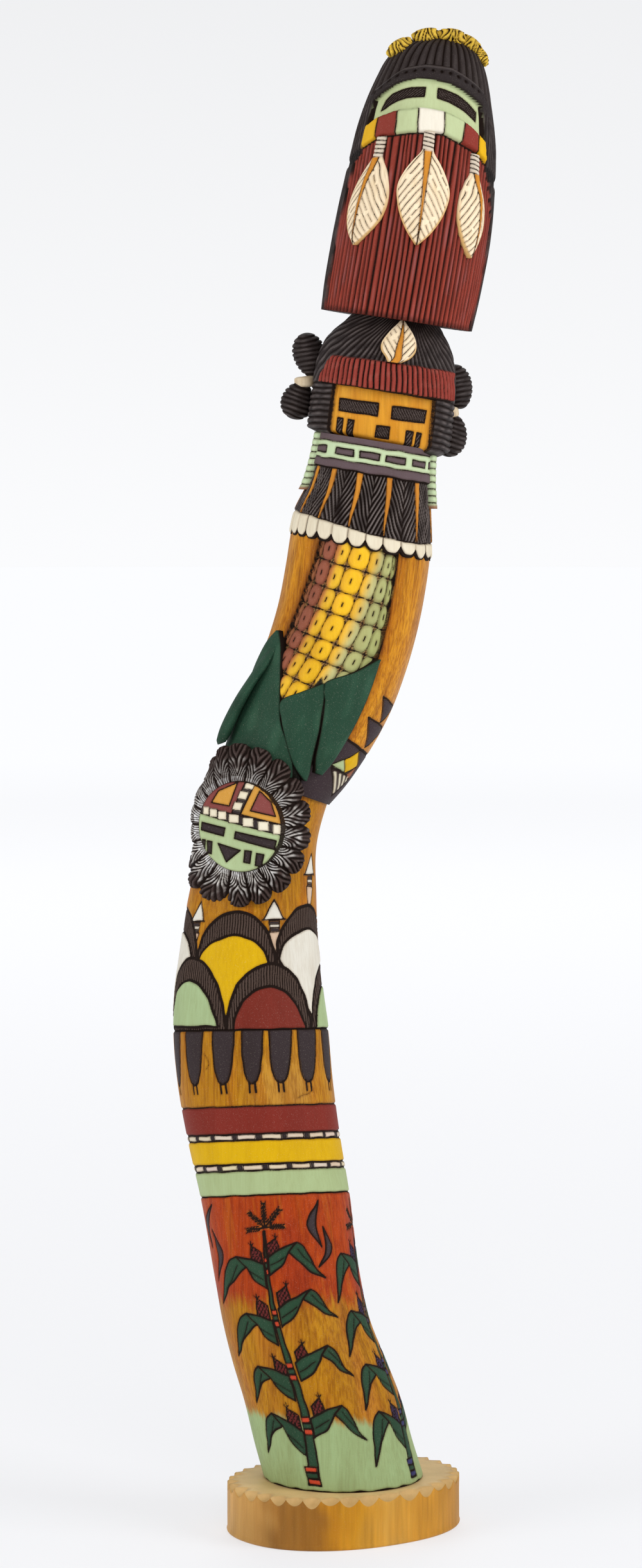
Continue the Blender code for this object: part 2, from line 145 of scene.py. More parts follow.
FOOT_RADIUS = 32.6                 # millimetres, as all sizes drawn below
SLAB_LONG = FOOT_RADIUS + 17.0
SLAB_SHORT = FOOT_RADIUS + 7.0
SLAB_TURN = math.radians(35)
SLAB_SQUARENESS = 2.2
SLAB_EDGE = 1.4                    # radius of the lower edge
SIDE_INSET = 0.3                   # how far the side is let in, so that its waves stay in the solid
SLAB_SIDE = np.array((             # places from left to right, and the stain there
    (-46, 0.56, 0.31, 0.085), (-34, 0.50, 0.26, 0.065), (-27, 0.31, 0.135, 0.022), (-11, 0.30, 0.125, 0.015),
    (-5, 0.48, 0.20, 0.010), (5, 0.61, 0.28, 0.014), (18, 0.60, 0.31, 0.048), (30, 0.60, 0.28, 0.028),
    (44, 0.48, 0.22, 0.022))).T
SLAB_TOP = np.array((0.70, 0.49, 0.22))
GOUGED = np.array((0.86, 0.80, 0.72))     # of the colour of the top
GOUGES = 36
GOUGE_DOWN = 3.6
GOUGE_IN = 3.4
UNBURNT = 4.0                      # distance at which a burnt line has no more effect


def ramp(low, high, value):
    """0 at low, 1 at high, and a soft ramp between."""
    t = np.clip((value - low) / (high - low), 0, 1)
    return t * t * (3 - 2 * t)


def waver(x, y, size, seed, waves=7):
    """Smooth random field between about -1 and 1, with bumps of the size given."""
    chance = np.random.default_rng(seed)
    total = 0.0
    for _ in range(waves):
        heading = chance.uniform(0, 2 * math.pi)
        pitch = size * chance.uniform(0.7, 1.8)
        along = x * math.cos(heading) + y * math.sin(heading)
        total = total + np.sin(along * 2 * math.pi / pitch + chance.uniform(0, 6.3))
    return total / math.sqrt(waves)


def placed(points):
    """Drawn millimetres over the seat to metres over the table."""
    return np.asarray(points) * UNIT + (0, 0, SEAT)


def carved(name, points, paint, burn, finish, slot="painted_root", solid="carved_figure"):
    """Closed piece through a grid of points whose first and last columns meet and whose first and
    last rows each shrink to one point. Paint and burn are stored at the points for the material."""
    rows, columns = points.shape[:2]
    body = bpy.data.objects.new(name, bpy.data.meshes.new(name))
    bpy.context.scene.collection.objects.link(body)
    work = bmesh.new()
    bmesh.ops.create_grid(work, x_segments=columns - 1, y_segments=rows - 1, size=1.0)
    work.to_mesh(body.data)
    grid = np.empty(len(body.data.vertices) * 3)
    body.data.vertices.foreach_get("co", grid)
    grid = (grid.reshape(-1, 3) + 1) / 2
    column = np.rint(grid[:, 0] * (columns - 1)).astype(int)
    row = np.rint(grid[:, 1] * (rows - 1)).astype(int)
    body.data.vertices.foreach_set("co", placed(points)[row, column].ravel())
    layer = body.data.color_attributes.new("paint", "FLOAT_COLOR", "POINT")
    layer.data.foreach_set("color", paint[row, column].ravel())
    layer = body.data.attributes.new("burn", "FLOAT", "POINT")
    layer.data.foreach_set("value", np.clip(burn, -2, UNBURNT)[row, column].ravel())
    work.clear()
    work.from_mesh(body.data)
    bmesh.ops.remove_doubles(work, verts=work.verts, dist=2e-6)
    bmesh.ops.recalc_face_normals(work, faces=work.faces)
    for face in work.faces:
        face.smooth = True
    work.to_mesh(body.data)
    work.free()
    body.data.materials.append(finish)
    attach(body, "root")
    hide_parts(solid)


def blended(tree, share, first, second, way="MIX"):
    """Colour between the first and the second, or the first times the second."""
    settings = {"data_type": "RGBA", "blend_type": way}
    return node(tree, "ShaderNodeMix", settings, {0: share, 6: first, 7: second}).outputs[2]


def stepped(tree, value, low, high):
    """0 where the value is low and 1 where it is high."""
    span = {"Value": value, "From Min": low, "From Max": high}
    return node(tree, "ShaderNodeMapRange", {"interpolation_type": "SMOOTHSTEP"}, span).outputs[0]


def wood_finish_group():
    """Stain, paint and burnt lines on carved cottonwood. Bare is 1 on stained wood that shows its
    grain and 0 under solid paint. Burn is the distance in millimetres to the edge of a burnt line,
    and is negative in the line."""
    tree = bpy.data.node_groups.new("stained_painted_and_burnt_wood", "ShaderNodeTree")
    for way, sockets in (("INPUT", {"Paint": (0.5, 0.3, 0.1, 1), "Bare": 1, "Burn": UNBURNT, "Grain": 0.6,
                                    "Mottle": 0.5, "Wear": 0.3}),
                         ("OUTPUT", {"Color": None, "Roughness": None, "Height": None})):
        for name, value in sockets.items():
            kind = "NodeSocketColor" if name in ("Paint", "Color") else "NodeSocketFloat"
            socket = tree.interface.new_socket(name, in_out=way, socket_type=kind)
            if value is not None:
                socket.default_value = value
    given = tree.nodes.new("NodeGroupInput").outputs
    place = tree.nodes.new("ShaderNodeTexCoord").outputs["Object"]
    along, patch = (node(tree, "ShaderNodeMapping", (), {"Vector": place, "Scale": scale}).outputs[0]
                    for scale in ((1, 1, 0.055), (1, 1, 0.3)))

    def noise(vector, scale, detail, rough=0.55):
        values = {"Vector": vector, "Scale": scale, "Detail": detail, "Roughness": rough}
        return node(tree, "ShaderNodeTexNoise", (), values).outputs[0]

    def sums(way, first, second, limit=False):
        settings = {"operation": way, "use_clamp": limit}
        return node(tree, "ShaderNodeMath", settings, {0: first, 1: second}).outputs[0]

    def times(first, second):
        return sums("MULTIPLY", first, second)

    fleck = noise(place, 2300, 3, 0.7)
    uneven = sums("SUBTRACT", fleck, 0.5)
    grain = times(times(stepped(tree, noise(along, 1250, 4), 0.40, 0.66), given["Bare"]), given["Grain"])
    band = times(times(stepped(tree, noise(along, 330, 3), 0.36, 0.64), given["Bare"]), given["Mottle"])
    patchy = times(stepped(tree, noise(patch, 75, 4), 0.35, 0.68), given["Mottle"])
    pits = times(stepped(tree, fleck, 0.60, 0.74), given["Wear"])
    rubs = times(times(stepped(tree, fleck, 0.42, 0.30), given["Wear"]), 0.5)
    scorch = times(stepped(tree, given["Burn"], 0.9, 0.0), 0.35)
    burnt = stepped(tree, sums("ADD", given["Burn"], times(uneven, 0.5)), 0.14, -0.10)
    color = given["Paint"]
    for share, over, way in (
            (grain, (0.50, 0.36, 0.22, 1), "MULTIPLY"), (band, (0.74, 0.60, 0.45, 1), "MULTIPLY"),
            (patchy, (0.78, 0.74, 0.68, 1), "MULTIPLY"), (pits, (0.35, 0.25, 0.16, 1), "MULTIPLY"),
            (rubs, (0.80, 0.72, 0.58, 1), "MIX"), (scorch, (0.34, 0.20, 0.11, 1), "MULTIPLY"),
            (burnt, (0.012, 0.006, 0.004, 1), "MIX")):
        color = blended(tree, share, color, over, way)

    rough = sums("ADD", sums("ADD", times(given["Bare"], -0.12), 0.58), times(uneven, 0.35))
    rough = sums("ADD", rough, times(burnt, 0.25), True)
    height = sums("ADD", times(grain, -0.5), times(fleck, 0.55))
    height = sums("SUBTRACT", height, times(burnt, 0.8))
    node(tree, "NodeGroupOutput", (), {"Color": color, "Roughness": rough, "Height": height})
    return tree


WOOD_FINISH = wood_finish_group()


def wood_finish(name, grain=0.6, mottle=0.5, wear=0.2, relief=0.35, shine=0.1):
    """Material of one piece, with its own share of grain, mottling and worn spots."""
    finish = bpy.data.materials.new(name)
    finish.use_nodes = True
    tree = finish.node_tree
    paint, burn = (node(tree, "ShaderNodeAttribute", {"attribute_name": stored}).outputs
                   for stored in ("paint", "burn"))
    wood = node(tree, "ShaderNodeGroup", {"node_tree": WOOD_FINISH}, {
        "Paint": paint["Color"], "Bare": paint["Alpha"], "Burn": burn["Fac"],
        "Grain": grain, "Mottle": mottle, "Wear": wear}).outputs
    bump = node(tree, "ShaderNodeBump", (), {
        "Height": wood["Height"], "Strength": relief, "Distance": 0.0003})
    feed(tree, tree.nodes["Principled BSDF"], {
        "Base Color": wood["Color"], "Roughness": wood["Roughness"], "Normal": bump.outputs[0],
        "Specular IOR Level": shine})
    return finish


def slab_points():
    """Rings from the middle of the underside, over the side and the gouged edge, to the middle of the
    top, with the paint and burn values of each point."""
    turn = np.linspace(0, 2 * math.pi, 361)
    chance = np.random.default_rng(5)
    cut = turn / (2 * math.pi) * GOUGES
    which = np.floor(cut).astype(int) % GOUGES
    share = 1 - (2 * (cut - np.floor(cut)) - 1) ** 2
    down = 0.4 + GOUGE_DOWN * chance.uniform(0.55, 1.0, GOUGES)[which] * share
    inward = 0.5 + GOUGE_IN * chance.uniform(0.6, 1.1, GOUGES)[which] * share
    thick = SLAB_THICKNESS / UNIT

    def ring(inset, height):
        u, v = ((half - inset) * np.sign(way) * np.abs(way) ** (2 / SLAB_SQUARENESS)
                for half, way in ((SLAB_LONG, np.cos(turn)), (SLAB_SHORT, np.sin(turn))))
        x = u * math.cos(SLAB_TURN) - v * math.sin(SLAB_TURN)
        y = u * math.sin(SLAB_TURN) + v * math.cos(SLAB_TURN)
        return np.stack([x, y, np.broadcast_to(height - thick - SEAT_GAP / UNIT, turn.shape)], -1)

    rings = [ring(inset, 0) for inset in (SLAB_LONG, 25, 10, 3)]
    for step in np.linspace(0, math.pi / 2, 5):
        rings.append(ring(SLAB_EDGE * (1 - math.sin(step)), SLAB_EDGE * (1 - math.cos(step))))
    side_top = thick - down
    for up in np.linspace(0.05, 1, 26):
        height = SLAB_EDGE + (side_top - SLAB_EDGE) * up
        rings.append(ring(SIDE_INSET + 0.4 * waver(turn * 45, height, 26, 3) * up * (1 - up), height))
    side_rings = len(rings)
    for step in np.linspace(0.12, 1, 8):
        hollow = 0.5 * np.sin(step * math.pi) * share
        rings.append(ring(inward * step + SIDE_INSET + hollow, side_top + down * step - hollow))
    gouged_rings = len(rings)
    for step in np.linspace(0.08, 0.93, 12):
        rings.append(ring(inward + SIDE_INSET + (SLAB_SHORT - inward - 3) * step, thick))
    points = np.stack([*rings, ring(SLAB_LONG, thick)])
    points[[0, -1], :, :2] = 0

    x, y, z = np.moveaxis(points, -1, 0)
    row = np.arange(len(points))[:, None, None]
    across = x + 1.6 * waver(x, z, 11, 8)
    side = np.stack([np.interp(across, SLAB_SIDE[0], stain) for stain in SLAB_SIDE[1:]], -1)
    askew = x * 1.2 + y
    side *= (1 + 0.09 * waver(askew, z * 0.5, 15, 4) + 0.07 * waver(askew, z * 0.15, 4, 3))[..., None]
    pale = SLAB_TOP * (1 + 0.05 * waver(x, y, 14, 6))[..., None]
    color = np.where(row < side_rings, side, np.where(row < gouged_rings, pale * GOUGED, pale))
    bare = np.where(row < side_rings, 1.0, 0.45) + 0 * color[..., :1]
    return points, np.concatenate([color, bare], -1), np.full(x.shape, UNBURNT)


slab_finish = wood_finish("stained_slab_wood", 0.12, 0.2, 0.12, relief=0.4, shine=0.15)
carved("gouged_slab", *slab_points(), slab_finish, "slab_wood", "base_slab")


# Trunk, lower panel: the leaning foot of the root, stained as grass, earth and evening sky, with
# maize plants and moon shapes drawn with a hot point and filled with paint.
TRUNK = [              # sections: left and right end as x and height, middle y, depths, rise of the front
    (-32.7, 0, 32.5, 0, 0, 32, 32, 0), (-36.3, 13, 28.3, 13.5, 0.3, 31.8, 31.5, 1.2),
    (-40.7, 31, 23.2, 32, 1, 31.2, 31, 2.8), (-45.5, 47, 17, 48, 2, 30.5, 30, 4),
    (-49.4, 62.7, 10.6, 64, 3.5, 29.6, 29, 4.6), (-52.3, 78.5, 7, 80, 5.2, 29.2, 28.5, 5),
    (-58.6, 113.5, 2.2, 116, 9.3, 30, 29.2, 5), (-63.6, 135.4, -1.4, 137.6, 11.8, 30.4, 29.8, 4.8),
    (-68, 160, -4.6, 162, 14.3, 30.8, 30.2, 4.4), (-69.7, 180.8, -6.4, 181.9, 16.2, 30.6, 30, 4),
    (-69, 197, -8.6, 198, 17.4, 29.4, 29, 3.6), (-66.6, 215.5, -10.3, 216.7, 18.6, 27.5, 27.2, 3.2),
    (-63.6, 235.1, -11.2, 236.6, 19.5, 25.5, 25.4, 2.6), (-58.6, 255, -11, 257.6, 20, 23.8, 23.8, 2),
    (-52.5, 272, -6.4, 275, 20, 23.4, 23.4, 1.6), (-43, 292, 1, 292, 20, 22, 22, 1)]
SKY_LINE = 71.5
GRASS_LINE = 26.5
PANEL_TOP = 114.4
FINE_PITCH = 0.48                  # between the points of a carved panel
LINE = 0.34                        # half the width of a burnt line
FINE_LINE = 0.2
STALK = np.array(((-11.3, 2.2, 2.5), (-9.4, 11.6, 2.1), (-8.1, 22.7, 1.75), (-7.9, 43, 1.35), (-7.9, 64, 1.0),
                  (-7.6, 85, 0.55), (-6.3, 100, 0.3)))     # x, height and half the width
STALK_JOINTS = (3.6, 22.4, 42.6, 63.0, 83.5)
LEAVES = {                         # foot, fold and the tip of the ear, at the right and at the left
    1: (((-6.0, 20.3), (8.0, 32.2), (-0.2, 35.0)), ((-5.2, 41.3), (10.5, 54.4), (0.0, 55.2)),
        ((-5.9, 62.0), (8.7, 76.1), (-1.1, 78.0)), ((-6.6, 82.4), (6.2, 94.9), (-2.3, 97.0))),
    -1: (((-10.9, 12.9), (-23.7, 28.9), (-15.0, 31.4)), ((-10.1, 33.8), (-22.7, 46.7), (-13.8, 50.0)),
         ((-10.0, 54.8), (-21.1, 67.3), (-14.3, 73.1)), ((-9.2, 77.0), (-21.1, 90.0), (-13.0, 94.2)))}
RIGHT_TIPS = ((15.3, 18.9), (17.2, 42.7), (18.6, 65.1), (16.4, 80.6))
WIDE_TIPS = ((-31.7, 12.6), (-30.9, 32.3), (-33.9, 50.2), (-36.4, 71.1))
STEEP_TIPS = ((-31.5, 9.0), (-30.1, 29.8), (-29.5, 50.0), (-27.7, 70.7))
LEAF_EDGES = {                     # low edge at the fold, high edge at the foot, outer and inner edge
    1: ((-3.9, -3.5), (0.0, 6.9), ((0.12, 0.05), (0.38, 0.02), (0.72, -0.05)),
        ((0.345, -0.25), (0.635, -0.22), (0.84, -0.11))),
    -1: ((4.5, -4.4), (0.7, 9.4), ((0.15, 0.09), (0.42, 0.10), (0.72, 0.04)),
         ((0.33, -0.16), (0.54, -0.09), (0.8, -0.05)))}
LEAF_RIB = ((0.12, -0.10), (0.4, -0.09), (0.68, -0.05))
EAR = ((-4.3, -2.9), (-4.1, -9.0), (0.7, -7.0), (0.9, -3.4), (0, 0))
SILK = ((-1.0, 1.1), (0.1, 1.9), (1.1, 1.0))
TASSEL_ROOT = np.array((-6.1, 101.4))
TASSEL_TIPS = ((-5.1, 111.8), (1.4, 108.9), (2.6, 101.5), (-14.4, 100.2), (-12.1, 108.0))


def tint(red, green, blue):
    """Colour as it looks, 0 to 255, to the shader's linear values."""
    look = np.array([red, green, blue]) / 255
    return np.where(look > 0.04045, ((look + 0.055) / 1.055) ** 2.4, look / 12.92)


OCHRE_WOOD = tint(188, 130, 20)
EARTH_STAIN = tint(190, 118, 38)
WOOD_SHADE = tint(142, 86, 16)
SKY_STAIN = tint(176, 66, 12)
SKY_DEEP = tint(156, 50, 26)
SKY_STREAK = tint(196, 108, 20)
GRASS_PAINT = tint(158, 180, 128)
LEAF_GREEN = tint(42, 72, 52)
MOON_PURPLE = tint(60, 51, 54)
EAR_MAROON = tint(112, 44, 44)
JOINT_RED = tint(205, 74, 46)
EAR_PURPLE = tint(66, 52, 92)
JOINT_BLUE = tint(58, 58, 110)
TASSEL_GOLD = tint(214, 150, 60)


def through(knots, values, at):
    """Smooth curve through the values at the knots."""
    slopes = np.gradient(values, knots, axis=0)
    at = np.clip(at, knots[0], knots[-1])
    i = np.clip(np.searchsorted(knots, at) - 1, 0, len(knots) - 2)
    span = (knots[i + 1] - knots[i])[..., None]
    t = (at - knots[i])[..., None] / span
    return ((2 * t ** 3 - 3 * t ** 2 + 1) * values[i] + (t ** 3 - 2 * t ** 2 + t) * span * slopes[i]
            + (3 * t ** 2 - 2 * t ** 3) * values[i + 1] + (t ** 3 - t ** 2) * span * slopes[i + 1])


def skin(form, angle, height, out=0.0):
    """Point on a form, in drawn millimetres. The angle is 0 at the front and 90 at the viewer's
    right, the height is that of the section's middle, and out stands proud of the form."""
    form = np.asarray(form, float)
    angle, height, out = np.broadcast_arrays(np.asarray(angle, float), height, out)
    row = through((form[:, 1] + form[:, 3]) / 2, form, height)
    left_x, left_h, right_x, right_h, mid_y, front, back, rise = np.moveaxis(row, -1, 0)
    across, ahead = np.sin(np.radians(angle)), np.cos(np.radians(angle))
    half_width = (right_x - left_x) / 2
    depth = np.where(ahead > 0, front, back)
    normal = np.stack([across / half_width, -ahead / depth])
    normal /= np.hypot(*normal)
    x = (left_x + right_x) / 2 + half_width * across + out * normal[0]
    y = mid_y - depth * ahead + out * normal[1]
    h = (left_h + right_h) / 2 + (right_h - left_h) / 2 * across + rise * ahead
    return np.stack([x, y, h], axis=-1)


def distance_round(form, angles, heights):
    """Distances round a form from the middle one of the angles, with a row for each height."""
    steps = np.linalg.norm(np.diff(skin(form, angles, np.reshape(heights, (-1, 1))), axis=1), axis=-1)
    along = np.pad(np.cumsum(steps, axis=1), ((0, 0), (1, 0)))
    return along - along[:, len(angles) // 2][:, None]


def round_angles(count, gather=0.35):
    """Angles once round a section from -180 to 180, closer together at the front, which hold 0."""
    turn = np.linspace(-math.pi, math.pi, count // 2 * 2 + 1)
    return np.degrees(turn - gather * np.sin(turn))


def fine_heights(low, high):
    """Heights of the rows of points of a carved panel."""
    return np.linspace(low, high, round((high - low) / FINE_PITCH))


def reach_to(x, y, line, closed=False):
    """Distance to a line through corner points. In a closed outline it is negative."""
    line = np.asarray(line, float)
    if closed:
        line = np.concatenate([line, line[:1]])
    nearest = np.full(x.shape, 1e9)
    inside = np.zeros(x.shape, bool)
    for (x0, y0), (x1, y1) in zip(line, line[1:]):
        dx, dy = x1 - x0, y1 - y0
        t = np.clip(((x - x0) * dx + (y - y0) * dy) / (dx * dx + dy * dy + 1e-12), 0, 1)
        nearest = np.minimum(nearest, np.hypot(x - x0 - t * dx, y - y0 - t * dy))
        if closed and dy:
            inside ^= ((y0 > y) != (y1 > y)) & (x < x0 + (y - y0) * dx / dy)
    return np.where(inside, -nearest, nearest)


def curved(points, steps=6):
    """Smooth line through a few points."""
    points = np.asarray(points, float)
    knots = np.concatenate([[0], np.cumsum(np.hypot(*np.diff(points, axis=0).T))])
    at = np.interp(np.arange((len(knots) - 1) * steps + 1) / steps, np.arange(len(knots)), knots)
    return through(knots, points, at)


def box(left, right, low, high):
    """Corners of an upright oblong."""
    return [(left, low), (right, low), (right, high), (left, high)]


def from_whole(count):
    """Distance to the nearest whole number."""
    return np.abs((count + 0.5) % 1 - 0.5)


def ended(grid, drawn_in=False):
    """The grid with its first and last row once more, each drawn in to its middle if asked."""
    ends = grid[:1], grid[-1:]
    if drawn_in:
        ends = [np.broadcast_to(row.mean(axis=1, keepdims=True), row.shape) for row in ends]
    return np.concatenate([ends[0], grid, ends[1]])


class Carving:
    """Points all over one form, and the paint, burnt lines and relief that are laid on them. Places
    on it are given as the distance round from the front line and the height, in millimetres."""

    def __init__(self, form, angles, heights, color, bare=1.0, hand=0.16):
        self.form = form
        self.angle, self.height = np.meshgrid(angles, heights)
        self.across = distance_round(form, angles, heights)
        self.round = self.across[:, -1:] - self.across[:, :1]
        self.waver = hand * waver(self.across, self.height, 7, 1)
        self.y = self.height + hand * waver(self.across, self.height, 7, 2)
        self.measure_from(0)
        self.blank(color, bare)

    def blank(self, color, bare):
        """One colour all over, no burnt lines and no relief."""
        self.paint = np.tile([*color, bare], self.x.shape + (1,))
        self.burn = np.full(self.x.shape, UNBURNT)
        self.rise = np.zeros(self.x.shape)

    def measure_from(self, distance):
        """Counts the distance round from a line that is this far round from the front."""
        self.x = (self.across - distance + self.round / 2) % self.round - self.round / 2 + self.waver

    def degree(self):
        """Millimetres round for one degree."""
        return np.gradient(self.across, axis=1) / np.gradient(self.angle, axis=1)

    def reach(self, points, closed=False, margin=3.0):
        """The grid's points around a shape, and how far each is from it."""
        low, high = np.min(points, axis=0) - margin, np.max(points, axis=0) + margin
        at = np.nonzero((self.x > low[0]) & (self.x < high[0]) & (self.y > low[1]) & (self.y < high[1]))
        return at, reach_to(self.x[at], self.y[at], points, closed)

    def coat(self, share, color, bare, at=...):
        """Lays a colour over what is there, where the share is 1."""
        share = share[..., None]
        self.paint[at] = self.paint[at] * (1 - share) + np.array([*color, bare]) * share

    def stain(self, share, color, bare, bounds, size, seed, y):
        """Coat in soft patches of the size given: none where a random field over the distance round
        and y is at the first bound, and full where it is at the second."""
        self.coat(ramp(*bounds, waver(self.across, y, size, seed)) * share, color, bare)

    def scorch(self, away, where=True):
        """Burns what is less than 0 away."""
        self.burn = np.where(where, np.minimum(self.burn, away), self.burn)

    def clear(self, where):
        """Takes the burnt lines away."""
        self.burn = np.where(where, UNBURNT, self.burn)

    def raise_to(self, share, out):
        """Puts another relief in the place of the one there, where the share is 1."""
        self.rise = self.rise * (1 - share) + out * share

    def fill(self, outline, color, bare=0.1, edge=LINE, rise=0.0):
        """Painted shape with a burnt edge. It covers the lines under it."""
        at, away = self.reach(outline, closed=True)
        self.coat(ramp(0.25, -0.25, away), color, bare, at)
        self.burn[at] = np.maximum(self.burn[at], -away)
        self.rise[at] += rise * ramp(0.0, -0.8, away)
        if edge:
            self.burn[at] = np.minimum(self.burn[at], np.abs(away) - edge)

    def line(self, points, half=LINE, inside=None):
        """Burnt line, which may be kept inside an outline."""
        at, away = self.reach(points)
        away = away - half
        if inside is not None:
            away = np.maximum(away, reach_to(self.x[at], self.y[at], inside, closed=True))
        self.burn[at] = np.minimum(self.burn[at], away)

    def hatch(self, outline, places, middle, slope, reach, half):
        """Burnt lines in an outline that lean by the slope, one through each place at the height of
        the middle."""
        aside = slope * reach
        for x in places:
            self.line([(x - aside, middle - reach), (x + aside, middle + reach)], half, outline)

    def ring_line(self, height, half=LINE, dip=0.25):
        """Burnt groove all the way round."""
        away = np.abs(self.y - height) - half
        self.scorch(away)
        self.rise -= dip * ramp(0.6, -0.2, away)

    def furrow(self, lines, pitch, half, depth, share=1.0):
        """Rounded ridges with burnt grooves between them. Lines counts the grooves, and the pitch is
        what one count measures, in millimetres. The result is 0 in a groove and 1 on a ridge."""
        off = from_whole(lines)
        share = share + 0 * off
        self.rise -= depth * (1 - 2 * off) ** 3 * share
        self.scorch(off * pitch - half, share > 0.5)
        return off * 2

    def surface(self, out):
        """Points of the grid, each standing out from the form by its own amount."""
        return skin(self.form, self.angle, self.height, out)

    def piece(self, name, finish, groove=0.28):
        """The carving with its lines sunk in, as a closed piece of the figure."""
        surface = self.surface(self.rise - groove * ramp(0.35, -0.3, self.burn))
        carved(name, ended(surface, drawn_in=True), ended(self.paint), ended(self.burn), finish)


def hung_leaf(panel, foot, fold, tip, side):
    """Maize leaf that rises from the stalk to a fold and hangs to its tip. Side is 1 to the right."""
    foot, fold, tip = np.array(foot), np.array(fold), np.array(tip)
    below_fold, over_foot, outer, inner = LEAF_EDGES[side]
    low, high = fold + below_fold, foot + over_foot
    under = curved([foot, (foot + low) / 2 + (0.9 * side, -1.0), low])
    over = curved([fold, (fold + high) / 2 + (0, 0.7), high])
    panel.fill(np.concatenate([under, over]), LEAF_GREEN, 0.15)
    panel.line(curved([foot + (0.9 * side, 3.6), (foot + fold) / 2 + (0.4 * side, 0.6)]), FINE_LINE)
    along = tip - fold
    out = np.array([-along[1], along[0]]) * side
    outer, inner, rib = ([fold + along * t + out * w for t, w in edge] for edge in (outer, inner, LEAF_RIB))
    outer, inner = curved([fold, *outer, tip]), curved([low, *inner, tip])
    panel.fill(np.concatenate([outer, inner[::-1]]), LEAF_GREEN, 0.15)
    panel.line(curved(rib), FINE_LINE)


def maize_ear(panel, tip, side, color):
    """Small ear beside the stalk, cross-hatched, with three threads of silk."""
    body = np.array(EAR) * (side, 1) + tip
    panel.fill(body, color, 0.1, edge=0.28)
    for slope in (5 / 7, -5 / 7):
        panel.hatch(body, tip[0] - 1.7 * side + np.arange(-5, 6) * 1.6, tip[1] - 4, slope, 7, 0.17)
    for x, y in SILK:
        panel.line([tip, (tip[0] + x, tip[1] + y)], 0.22)


def moon(panel, top, belly, foot, hollow):
    """Crescent through its two tips and the middles of its outer and inner edges."""
    outer, inner = curved([top, belly, foot]), curved([foot, hollow, top])
    panel.fill(np.concatenate([outer, inner[1:-1]]), MOON_PURPLE, 0.15)


def maize_plant(panel, color, ear_color, left_tips):
    """Whole plant of four pairs of leaves, with bands at the joints of its stalk and a flower of spikes
    that are fringed with short dark ticks."""
    for side, tips in ((1, RIGHT_TIPS), (-1, left_tips)):
        for (foot, fold, ear), tip in zip(LEAVES[side], tips):
            maize_ear(panel, ear, side, ear_color)
            hung_leaf(panel, foot, fold, tip, side)
    x, height, half = STALK.T
    left, right = (curved(np.stack([x + turn * half, height], -1)) for turn in (-1, 1))
    panel.fill(np.concatenate([left, right[::-1]]), LEAF_GREEN, 0.15)
    for joint in STALK_JOINTS:
        middle, wide = np.interp(joint, height, x), np.interp(joint, height, half)
        for step, shade in ((0, color), (2.3, LEAF_GREEN), (4.6, color)):
            up = joint + step
            panel.fill(box(middle - wide, middle + wide, up - 1, up + 1), shade, edge=0.24)
    root = TASSEL_ROOT
    for tip in np.array(TASSEL_TIPS):
        length = np.hypot(*(tip - root))
        way = (tip - root) / length
        side = np.array([-way[1], way[0]])
        at, away = panel.reach([root + way * 1.5, tip - way * 0.8])
        panel.coat(ramp(1.15, 0.65, away) * 0.35, TASSEL_GOLD, 0.8, at)
        panel.line([root, tip - way * 0.6], 0.36)
        for step in np.arange(2.2, length - 0.3, 1.1):
            for turn in (-1, 1):
                foot = root + way * step + side * turn * 0.55
                panel.line([foot, foot + way * 0.85 + side * turn * 0.5], 0.25)


def landscape():
    """Lower panel of the trunk with its stains and drawing."""
    panel = Carving(TRUNK, round_angles(274), fine_heights(0, PANEL_TOP), OCHRE_WOOD)
    x, h = panel.across, panel.height
    streaky = waver(x, h * 0.06, 2.4, 11) + 0.8 * waver(x, h * 0.1, 9, 12)
    panel.stain(0.5, EARTH_STAIN, 1.0, (-0.3, 1.2), 13, 13, h * 0.2)
    panel.stain(0.45, WOOD_SHADE, 1.0, (0.4, 1.6), 4, 15, h * 0.08)
    sky = ramp(-4.5, 4.0, h - SKY_LINE + 1.6 * streaky)
    panel.coat(sky, SKY_STAIN, 0.85)
    panel.stain(sky * 0.5, SKY_DEEP, 0.8, (-0.4, 1.3), 17, 14, h * 0.4)
    panel.coat(ramp(0.2, 1.5, streaky) * sky * 0.35, SKY_STREAK, 0.9)
    lean = 2.0 * np.sin(np.radians(panel.angle))
    panel.coat(ramp(2.2, -2.2, h - GRASS_LINE + lean + 0.8 * streaky), GRASS_PAINT, 0.3)
    for around, *looks in ((0, JOINT_RED, EAR_MAROON, WIDE_TIPS), (48, JOINT_BLUE, EAR_PURPLE, STEEP_TIPS),
                           (96, JOINT_RED, EAR_MAROON, STEEP_TIPS)):
        panel.measure_from(around)
        maize_plant(panel, *looks)
    for around in (0, 50, 96):
        panel.measure_from(around)
        moon(panel, (18.2, 111.4), (11.6, 101.6), (17.0, 92.8), (15.4, 101.4))
        moon(panel, (18.7, 100.8), (21.8, 92.1), (14.3, 84.7), (18.6, 92.2))
    panel.measure_from(0)
    moon(panel, (-31.8, 111.4), (-42.1, 104.1), (-37.7, 93.8), (-38.2, 102.0))
    moon(panel, (-35.1, 101.2), (-28.9, 91.1), (-37.0, 80.3), (-32.8, 91.0))
    panel.ring_line(PANEL_TOP, 0.3)
    panel.scorch(h - 0.35 + 0.25 * waver(x, 0, 6, 19))
    panel.piece("landscape_panel", wood_finish("stained_and_painted_panel", 0.6, 0.55))


landscape()


